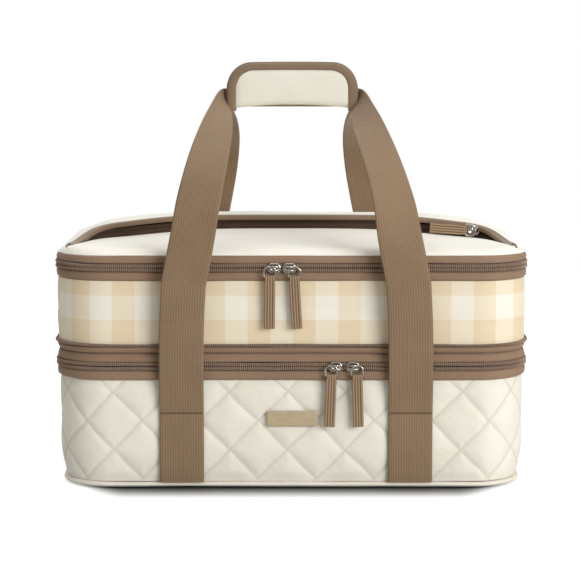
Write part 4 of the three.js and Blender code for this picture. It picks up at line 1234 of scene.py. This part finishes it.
def handle_strap(end, side):
    """One handle: up from both folds, turned on edge and folded into the grip."""
    fold_y, layer = side * (BODY_DEPTH / 2 + STRAP_OUT), GRIP_Y + side * GRIP_LAYER
    wrap_x = GRIP_WIDTH / 2
    fold_x, rise = STRAP_FOLD_X - STRAP_IN[end] - wrap_x, GRIP_STRAP_Z - STRAP_FOLD_Z
    rows = []
    for z in np.linspace(STRAP_PART_Z + 0.02, STRAP_FOLD_Z, 5)[:-1]:
        rows.append((*(lower_strap_at(np.array(z), side) - [STRAP_IN[end], 0, 0]), 0, 0, 1, 0))
    for out, (inward, up, turn, fold, twist) in zip(HANDLE_SPREAD[end], HANDLE_KEYS):
        place = wrap_x + fold_x * out, fold_y + (layer - fold_y) * inward, STRAP_FOLD_Z + rise * up
        rows.append((*place, turn, fold, min(1, max(0, out) / 0.6), twist))
    right = spline(rows, 6)
    left = right[::-1] * [-1, 1, 1, 1, 1, 1, 1]
    both = np.concatenate([right, left])
    middle = both[:, :3]
    middle[:, 0] += STRAP_SHIFT[end] * both[:, 5]
    roll = np.concatenate([right[:, 3] * math.pi / 2, math.pi - left[:, 3] * math.pi / 2])
    fold = np.clip(both[:, 4], 0, 1)
    width = WEBBING + (GRIP_STRAP_WIDTH - WEBBING) * fold
    thick = WEBBING_THICK + (GRIP_STRAP_THICK - WEBBING_THICK) * fold
    twist = -side * np.radians(both[:, 6] * np.repeat(HANDLE_TWIST[end], len(right)))
    strap = ribbon(f"{end}_handle_webbing", middle, roll, width, thick, FINISH["webbing"], twist)
    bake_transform(strap)
    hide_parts(f"{end}_handle_strap")


# Grip


def grip_edge(side_in, top_in, radius):
    """Left side, top and right side of the grip's face as points in X and Z, from the bottom left."""
    half, high = GRIP_WIDTH / 2 - side_in, GRIP_TOP - top_in
    steps = 14
    points = [(-half, z) for z in np.linspace(GRIP_BOTTOM - 0.5, high - radius, 10)[:-1]]
    for k in range(steps + 1):
        t = math.pi - k / steps * math.pi / 2
        points.append((-(half - radius) + radius * math.cos(t), high - radius + radius * math.sin(t)))
    mirrored = [(-x, z) for x, z in points[::-1]]
    points += [(x, high) for x in np.linspace(-(half - radius), half - radius, 22)[1:-1]]
    return np.array(points + mirrored) + [GRIP_X, 0]


def make_grip():
    cavity = GRIP_LAYER + GRIP_STRAP_THICK / 2 + GAP
    for name, body, side, nodes in (
        ("grip_front", "grip_front", -1, ("grip_flap", "grip_flap_binding")),
        ("grip_rear", "rear_handle", 1, ("grip_wrap", "grip_wrap_binding")),
    ):
        inner = GRIP_Y + side * cavity
        fit(grip_pad(name + "_pad", inner, side), body, "grip_cloth", nodes[0], padded=0.6)
        fit(grip_binding(name + "_binding", inner, side), body, "edge_binding", nodes[1])


def grip_pad(name, inner, side):
    """One padded half of the wrap: flat against the straps, crowned outside, rounded under the hand."""
    thick, tall, half = 5.5, GRIP_TOP - GRIP_BOTTOM - 3.0, GRIP_WIDTH / 2 - 5.0
    s, t = np.linspace(-1, 1, 57)[None], np.linspace(0, 1, 25)[:, None]
    low = GRIP_BOTTOM + 0.4 + 3.4 * (1 - np.abs(s) ** 2.2)
    high = GRIP_TOP - 3.0 - 12 * np.clip((np.abs(s) - 0.76) / 0.24, 0, 1) ** 2.4
    x = GRIP_X + half * s + 0 * t
    z = low + (high - low) * t
    taper = np.cos(0.5 * math.pi * s)
    edge = np.clip(np.minimum((1 - np.abs(s)) * half, (1 - t) * tall) / 9, 0, 1)
    crown = thick - 2.4 * (1 - edge) ** 2 + 0.8 * np.cos(math.pi * (t - 0.5)) * taper
    roll = np.clip(1 - t * tall / 6.5, 0, 1)
    face = crown * np.sqrt(np.clip(1 - roll**2, 0.02, 1))
    crease = 0.21 * np.sin(s * 9 + 3 * t) * np.sin(math.pi * t) * taper
    front = np.stack([x, inner + side * (face + crease), z], -1)
    rear = np.stack([x, np.full(x.shape, inner + side * 0.1), z], -1)
    if side > 0:
        # The rear half carries the fold that passes under both straps.
        reach = np.clip(1 - t * tall / 3.0, 0, 1)
        rear[..., 1] = inner + 0.1 - reach * (2 * (inner - GRIP_Y) - 0.6)
    points = np.concatenate([front, rear[::-1]], 0)
    return stack(name, points.transpose(1, 0, 2), [0, 2], FINISH["grip"], crease=70)


def grip_binding(name, inner, side):
    """Grosgrain folded over the pad's edge, up one side, over the top and down the other."""
    path = grip_edge(4.4, 3.0 if side < 0 else 2.2, 19.0)
    path[:, 1] -= 1.6 * np.abs((path[:, 0] - GRIP_X) / (GRIP_WIDTH / 2)) ** 3
    middle = upright(path, inner + side * 2.75)
    run = unit_rows(np.gradient(middle, axis=0))
    away = np.stack([-run[:, 2], 0 * run[:, 0], run[:, 0]], -1)
    depth = np.broadcast_to([0.0, side * 1.0, 0.0], away.shape)
    half = 3.0 + 1.3 * np.clip(np.abs(away[:, 0]), 0, 1)
    fold = ((1.0, 0.0), (0.93, 2.0), (0.7, 2.75), (0.3, 3.1), (-0.3, 3.15), (-0.9, 2.95), (-1.0, 2.5),
            (-1.0, -2.5), (0.7, -2.6), (0.93, -2.0))
    profile = np.stack([np.stack([half * a, np.full(half.shape, b)], -1) for a, b in fold], 1)
    return sweep(name, middle, away, depth, profile, FINISH["binding"], crease=50)


# Label


def rounded_loop(width, height, radius, steps):
    """A closed outline round the origin in X and Z."""
    loop = []
    for sx, sz, start in ((1, 1, 0), (-1, 1, 1), (-1, -1, 2), (1, -1, 3)):
        for t in (start + np.arange(steps + 1) / steps) * math.pi / 2:
            loop.append((sx * (width / 2 - radius) + radius * math.cos(t),
                         sz * (height / 2 - radius) + radius * math.sin(t)))
    return np.array(loop)


def make_label():
    size = np.array([LABEL_WIDTH, LABEL_HEIGHT])
    thick, y = LABEL_THICK, -BODY_DEPTH / 2 - GAP
    loop = rounded_loop(*size, 2.5, 6)
    rings = []
    for shrink, depth in ((0.3, 0), (0.0, 0.25), (0.0, thick - 0.4), (0.12, thick - 0.15), (0.4, thick),
                          (2.0, thick + 0.02)):
        rings.append(upright(loop * (1 - 2 * shrink / size), y - depth) + [LABEL_X, 0, LABEL_Z])
    patch = stack("leather_label", rings, [0, 2], FINISH["leather"], crease=45)
    fit(patch, "tub", "label_leather", "label_patch")
    paths = []
    for hand in (-1, 1):
        x = LABEL_X + hand * (LABEL_WIDTH / 2 - 2.6)
        line = [(x, y - thick - 0.1, LABEL_Z + dz) for dz in np.linspace(-4.6, 4.6, 8)]
        paths.append((np.array(line), (0, -1, 0)))
    thread = repeat("label_stitches", STITCH_TREE, paths, FINISH["leather_thread"], Pitch=2.2, Length=1.6,
                    Thread=0.6)
    fit(thread, "tub", "label_leather")


# Sliders and pulls


SLIDER_FACE, CROWN_RISE, CROWN_WALL, WIRE = 1.6, 3.6, 1.0, 1.6
WIRE_Y = -SLIDER_FACE - CROWN_RISE + CROWN_WALL + WIRE / 2
RING_WIDTH, RING_HEIGHT = 11.5, 9.0
RING_FOOT = WIRE - RING_HEIGHT
CAP_WIDTH, CAP_HEIGHT, CAP_RADIUS = 12.2, 8.8, 4.0
PULL_LENGTH, POCKET_PULL_LENGTH, PULL_WIDTH, PULL_THICK = 46.0, 34.0, 9.2, 2.2
FRONT_CHAIN_Y = -BODY_DEPTH / 2 - CHAIN_PROUD

# Place, heading, turn and pitch of each slider, how far its cap and its pull stand off that place along
# the chain, and the pull's lean.
SLIDERS = (
    ("top_left", (-17.5, FRONT_CHAIN_Y, TOP_CHAIN), 0, 0, 0, 2.8, -0.9, -0.3),
    ("top_right", (-2.2, FRONT_CHAIN_Y, TOP_CHAIN), 0, 0, 0, 0.4, 4.6, 2.4),
    ("lower_left", (37.7, FRONT_CHAIN_Y, LOWER_CHAIN), 0, 0, 0, 0.0, -3.6, -1.6),
    ("lower_right", (52.6, FRONT_CHAIN_Y, LOWER_CHAIN), 0, 0, 0, 0.0, 3.6, 1.2),
    ("expansion", (-BODY_WIDTH / 2 - 2.2, 92, LIP + 1.425), -90, 0, 0, 0.0, 0.0, 0.3),
    ("pocket", (160.0, POCKET_Y - 5.2, 211.4), 0, 90, 4, 4.0, 4.0, 0.0),
)


def turned(degrees, axis):
    return Matrix.Rotation(math.radians(degrees), 4, axis)


def move_mesh(piece, matrix):
    """Bakes a place in millimetres into a piece's mesh."""
    scaled = matrix.copy()
    scaled.translation = scaled.translation * MM
    piece.data.transform(scaled)
    return piece


def wire_loop(name, path, radius):
    """Round nickel wire along a closed path that lies about in the XZ plane."""
    run = unit_rows(np.roll(path, -1, axis=0) - np.roll(path, 1, axis=0))
    away = unit_rows(np.stack([run[:, 2], 0 * run[:, 0], -run[:, 0]], -1))
    turns = [2 * math.pi * k / 10 for k in range(10)]
    ring = [(radius * math.cos(t), radius * math.sin(t)) for t in turns]
    return sweep(name, path, away, np.cross(run, away), ring, FINISH["nickel"], closed=True, crease=70)


def slider_body(name, turn):
    """The slider: a dished oval cap over the chain, its under plate and walls, and the eye for the bail."""
    face = -GAP - SLIDER_FACE
    cap = [(0.55, face + 0.8), (0.68, face + 0.25), (0.8, face), (0.92, face + 0.2), (1.0, face + 0.9),
           (1.0, -GAP), (0.9, -GAP)]
    plate = [(0.9, 1.25), (1.0, 1.35), (1.0, 1.6), (0.9, 1.7)]
    parts = []
    for levels, shrink in ((cap, 0.0), (plate, 0.8)):
        outline = rounded_loop(CAP_WIDTH - shrink, CAP_HEIGHT - shrink, CAP_RADIUS, 6)
        rings = [upright(outline * k, y) for k, y in levels]
        parts.append(stack(f"{name}_{len(parts)}", rings, [0, 2], FINISH["nickel"], crease=50))
    for hand in (-1, 1):
        rings = [upright(rounded_loop(8.6, 0.9, 0.4, 2), y) + [0, 0, hand * 3.85] for y in (-0.6, 1.5)]
        parts.append(stack(f"{name}_side{hand}", rings, [0, 2], FINISH["nickel"]))
    t = np.linspace(0, 2 * math.pi, 33)[:-1]
    x = 4.5 * np.cos(t)
    lift = np.sqrt(np.clip(1 - (x / 4.62) ** 2, 0, 1))
    eye = np.stack([x, face + 0.5 - (CROWN_RISE - 0.45) * lift, 1.75 * np.sin(t)], -1)
    bridge = move_mesh(wire_loop(name + "_eye", eye, 0.78), turned(turn, "Y"))
    body = join(*parts, bridge)
    body.name = name
    return body


def pull_ring(name, turn):
    """The bail: a horseshoe of wire whose arch runs through the eye, closed below where the webbing hangs."""
    half = RING_WIDTH / 2 - WIRE / 2
    arch = [(half * math.cos(a), -1.9 + 3.3 * math.sin(a)) for a in np.linspace(0, math.pi, 17)]
    corner = [(half, 2.0), (half - 0.4, 0.6), (half - 1.5, 0.0)]
    foot = [(-x, RING_FOOT + z) for x, z in corner] + [(x, RING_FOOT + z) for x, z in corner[::-1]]
    path = upright(np.array(arch + foot), WIRE_Y)
    return move_mesh(wire_loop(name, path, 0.95), turned(turn, "Y"))


def pull_tab(name, turn, lean, length):
    """Webbing folded through the bail, its two layers stitched together down both edges."""
    neck = RING_FOOT - 3.2
    fold = neck + np.array([0.9, 1.7, 2.3, 2.9, 3.5, 4.1, 4.6])
    z = np.concatenate([np.linspace(RING_FOOT + 2.0 - length, neck, 26), fold])
    near = np.clip((z - (RING_FOOT - 6)) / 6, 0, 1)
    width = PULL_WIDTH - 1.2 * near**1.5
    thick = PULL_THICK + 1.7 * np.clip((z - (RING_FOOT - 5.5)) / 3.5, 0, 1) ** 2
    rounding = np.sqrt(np.clip(1 - ((z - RING_FOOT) / 2.05) ** 2, 0.12, 1))
    thick = np.where(z > RING_FOOT + 0.3, thick * rounding, thick)
    hang = np.clip((RING_FOOT - z) / 44, 0, 1)
    middle = np.stack([lean * hang**1.2, WIRE_Y - 0.5 * hang * (1 - hang), z], -1)
    tab = ribbon(name, middle, 0 * z, width, thick, FINISH["pull"])
    paths = []
    for w in (-2.3, 2.3):
        for face in (-1, 1):
            paths.append((middle[2:24] + [w, face * 1.12, 0], (0, face, 0)))
    thread = repeat(name + "_thread", STITCH_TREE, paths, FINISH["brown_thread"], Pitch=2.3, Length=1.7,
                    Thread=0.5)
    return [move_mesh(piece, turned(turn, "Y")) for piece in (tab, thread)]


def make_sliders():
    for name, place, heading, turn, pitch, cap_off, pull_off, lean in SLIDERS:
        at = Matrix.Translation(place) @ turned(heading, "Z") @ turned(pitch, "Y")
        cap_at, pull_at = (at @ Matrix.Translation((off, 0, 0)) for off in (cap_off, pull_off))
        body = move_mesh(slider_body(name + "_slider_metal", turn), cap_at)
        fit(body, name + "_slider", "nickel", name + "_slider")
        ring = move_mesh(pull_ring(name + "_ring_wire", turn), pull_at)
        fit(ring, name + "_pull", "nickel", name + "_ring")
        length = POCKET_PULL_LENGTH if name == "pocket" else PULL_LENGTH
        tab, thread = pull_tab(name + "_pull_webbing", turn, lean, length)
        fit(move_mesh(tab, pull_at), name + "_pull", "pull_webbing", name + "_pull")
        fit(move_mesh(thread, pull_at), name + "_pull", "pull_webbing")


# Stage and light


FLOOR_GLOW, AMBIENT = 0.6, 0.36
WARM_ROOM, WHITE_ROOM = (1.0, 0.965, 0.9, 1), (1, 1, 1, 1)


def make_stage():
    mesh = bpy.data.meshes.new("studio_floor")
    mesh.from_pydata([(-1.5, -0.8, 0), (1.5, -0.8, 0), (1.5, 1.1, 0), (-1.5, 1.1, 0)], [], [(0, 1, 2, 3)])
    floor = new_object("studio_floor", mesh)
    # White paper: its own white is lifted to the background's, but not in front of the base, where the
    # shadow lies. There its colour is also darkened towards the base, a painted shadow.
    material, tree, shader = new_finish("white_paper_painted_shadow", Roughness=0.9)
    place = add_node(tree, "ShaderNodeTexCoord", out="Object")
    reach = add_node(tree, "ShaderNodeVectorMath", {0: place}, operation="ABSOLUTE")
    straight = ((BODY_WIDTH / 2 - CORNER) * MM, (BODY_DEPTH / 2 - CORNER) * MM, 0)
    past = add_node(tree, "ShaderNodeVectorMath", {0: reach, 1: straight}, operation="SUBTRACT")
    beyond = add_node(tree, "ShaderNodeVectorMath", {0: past, 1: (0, 0, 0)}, operation="MAXIMUM")
    clear = add_node(tree, "ShaderNodeVectorMath", {0: beyond}, "Value", operation="LENGTH")
    from_base = add_node(tree, "ShaderNodeMath", {0: clear, 1: CORNER * MM}, operation="SUBTRACT")
    # The painted shadow and the held-back glow fade out towards the base's ends and behind its front edge.
    faded = []
    for axis, way, near, far in ((0, reach, 0.14, 0.2), (1, place, -0.15, -0.1)):
        at = add_node(tree, "ShaderNodeSeparateXYZ", {0: way}, out=axis)
        faded.append(add_node(tree, "ShaderNodeMapRange", {"Value": at, "From Min": near, "From Max": far,
                                                           "To Max": 0.05}, interpolation_type="SMOOTHSTEP"))
    fade = add_node(tree, "ShaderNodeMath", {0: faded[0], 1: faded[1]}, operation="MAXIMUM")
    spread = add_node(tree, "ShaderNodeMath", {0: from_base, 1: fade}, operation="ADD")
    share = add_node(tree, "ShaderNodeMapRange", {"Value": spread, "From Min": 0.005, "From Max": 0.05},
                     interpolation_type="SMOOTHSTEP")
    # Painted shadow: the paper's colour goes from dark grey at the base to light grey 42 mm away.
    painted_shadow = add_node(tree, "ShaderNodeMapRange", {"Value": spread, "From Max": 0.042})
    dye_and_painted_shade(tree, shader, painted_shadow, linear("#4a4a4a"), linear("#d4d4d4"))
    seen = add_node(tree, "ShaderNodeLightPath", out="Is Camera Ray")
    glow = add_node(tree, "ShaderNodeMath", {0: seen, 1: FLOOR_GLOW}, operation="MULTIPLY")
    level = add_node(tree, "ShaderNodeMath", {0: share, 1: glow}, operation="MULTIPLY")
    lit = add_node(tree, "ShaderNodeEmission", {"Strength": level})
    both = add_node(tree, "ShaderNodeAddShader", {0: shader.outputs[0], 1: lit})
    tree.links.new(both, tree.nodes["Material Output"].inputs["Surface"])
    mesh.materials.append(material)

    world = bpy.data.worlds.new("studio")
    bpy.context.scene.world = world
    world.use_nodes = True
    tree = world.node_tree
    sky = tree.nodes["Background"]
    seen = add_node(tree, "ShaderNodeLightPath", out="Is Camera Ray")
    level = add_node(tree, "ShaderNodeMapRange", {"Value": seen, "To Min": AMBIENT, "To Max": 1.0})
    tone = add_node(tree, "ShaderNodeMix", {"Factor": seen, "A": WARM_ROOM, "B": WHITE_ROOM}, "Result",
                    data_type="RGBA")
    tree.links.new(level, sky.inputs["Strength"])
    tree.links.new(tone, sky.inputs["Color"])


def soft_box(name, place, aim, size, power):
    data = bpy.data.lights.new(name, "AREA")
    data.shape = "RECTANGLE"
    data.size, data.size_y = size
    data.energy = power
    lamp = bpy.data.objects.new(name, data)
    lamp.location = place
    lamp.rotation_euler = (Vector(aim) - Vector(place)).to_track_quat("-Z", "Y").to_euler()
    bpy.context.scene.collection.objects.link(lamp)


place_camera()
make_base()
make_quilted_wall()
make_gingham()
make_zips()
make_linings()
make_lid()
make_straps()
make_grip()
make_label()
make_sliders()
make_stage()
soft_box("top_box", (0.0, 0.3, 3.0), (0, 0.1, 0), (3.6, 3.0), 60)
soft_box("rear_box", (-0.7, 2.5, 1.3), (0, 0, 0.18), (1.6, 1.3), 18)
soft_box("right_box", (1.8, -2.3, 0.95), (0, 0, 0.18), (1.7, 1.4), 65)

view = bpy.context.scene.view_settings
view.view_transform = "Standard"
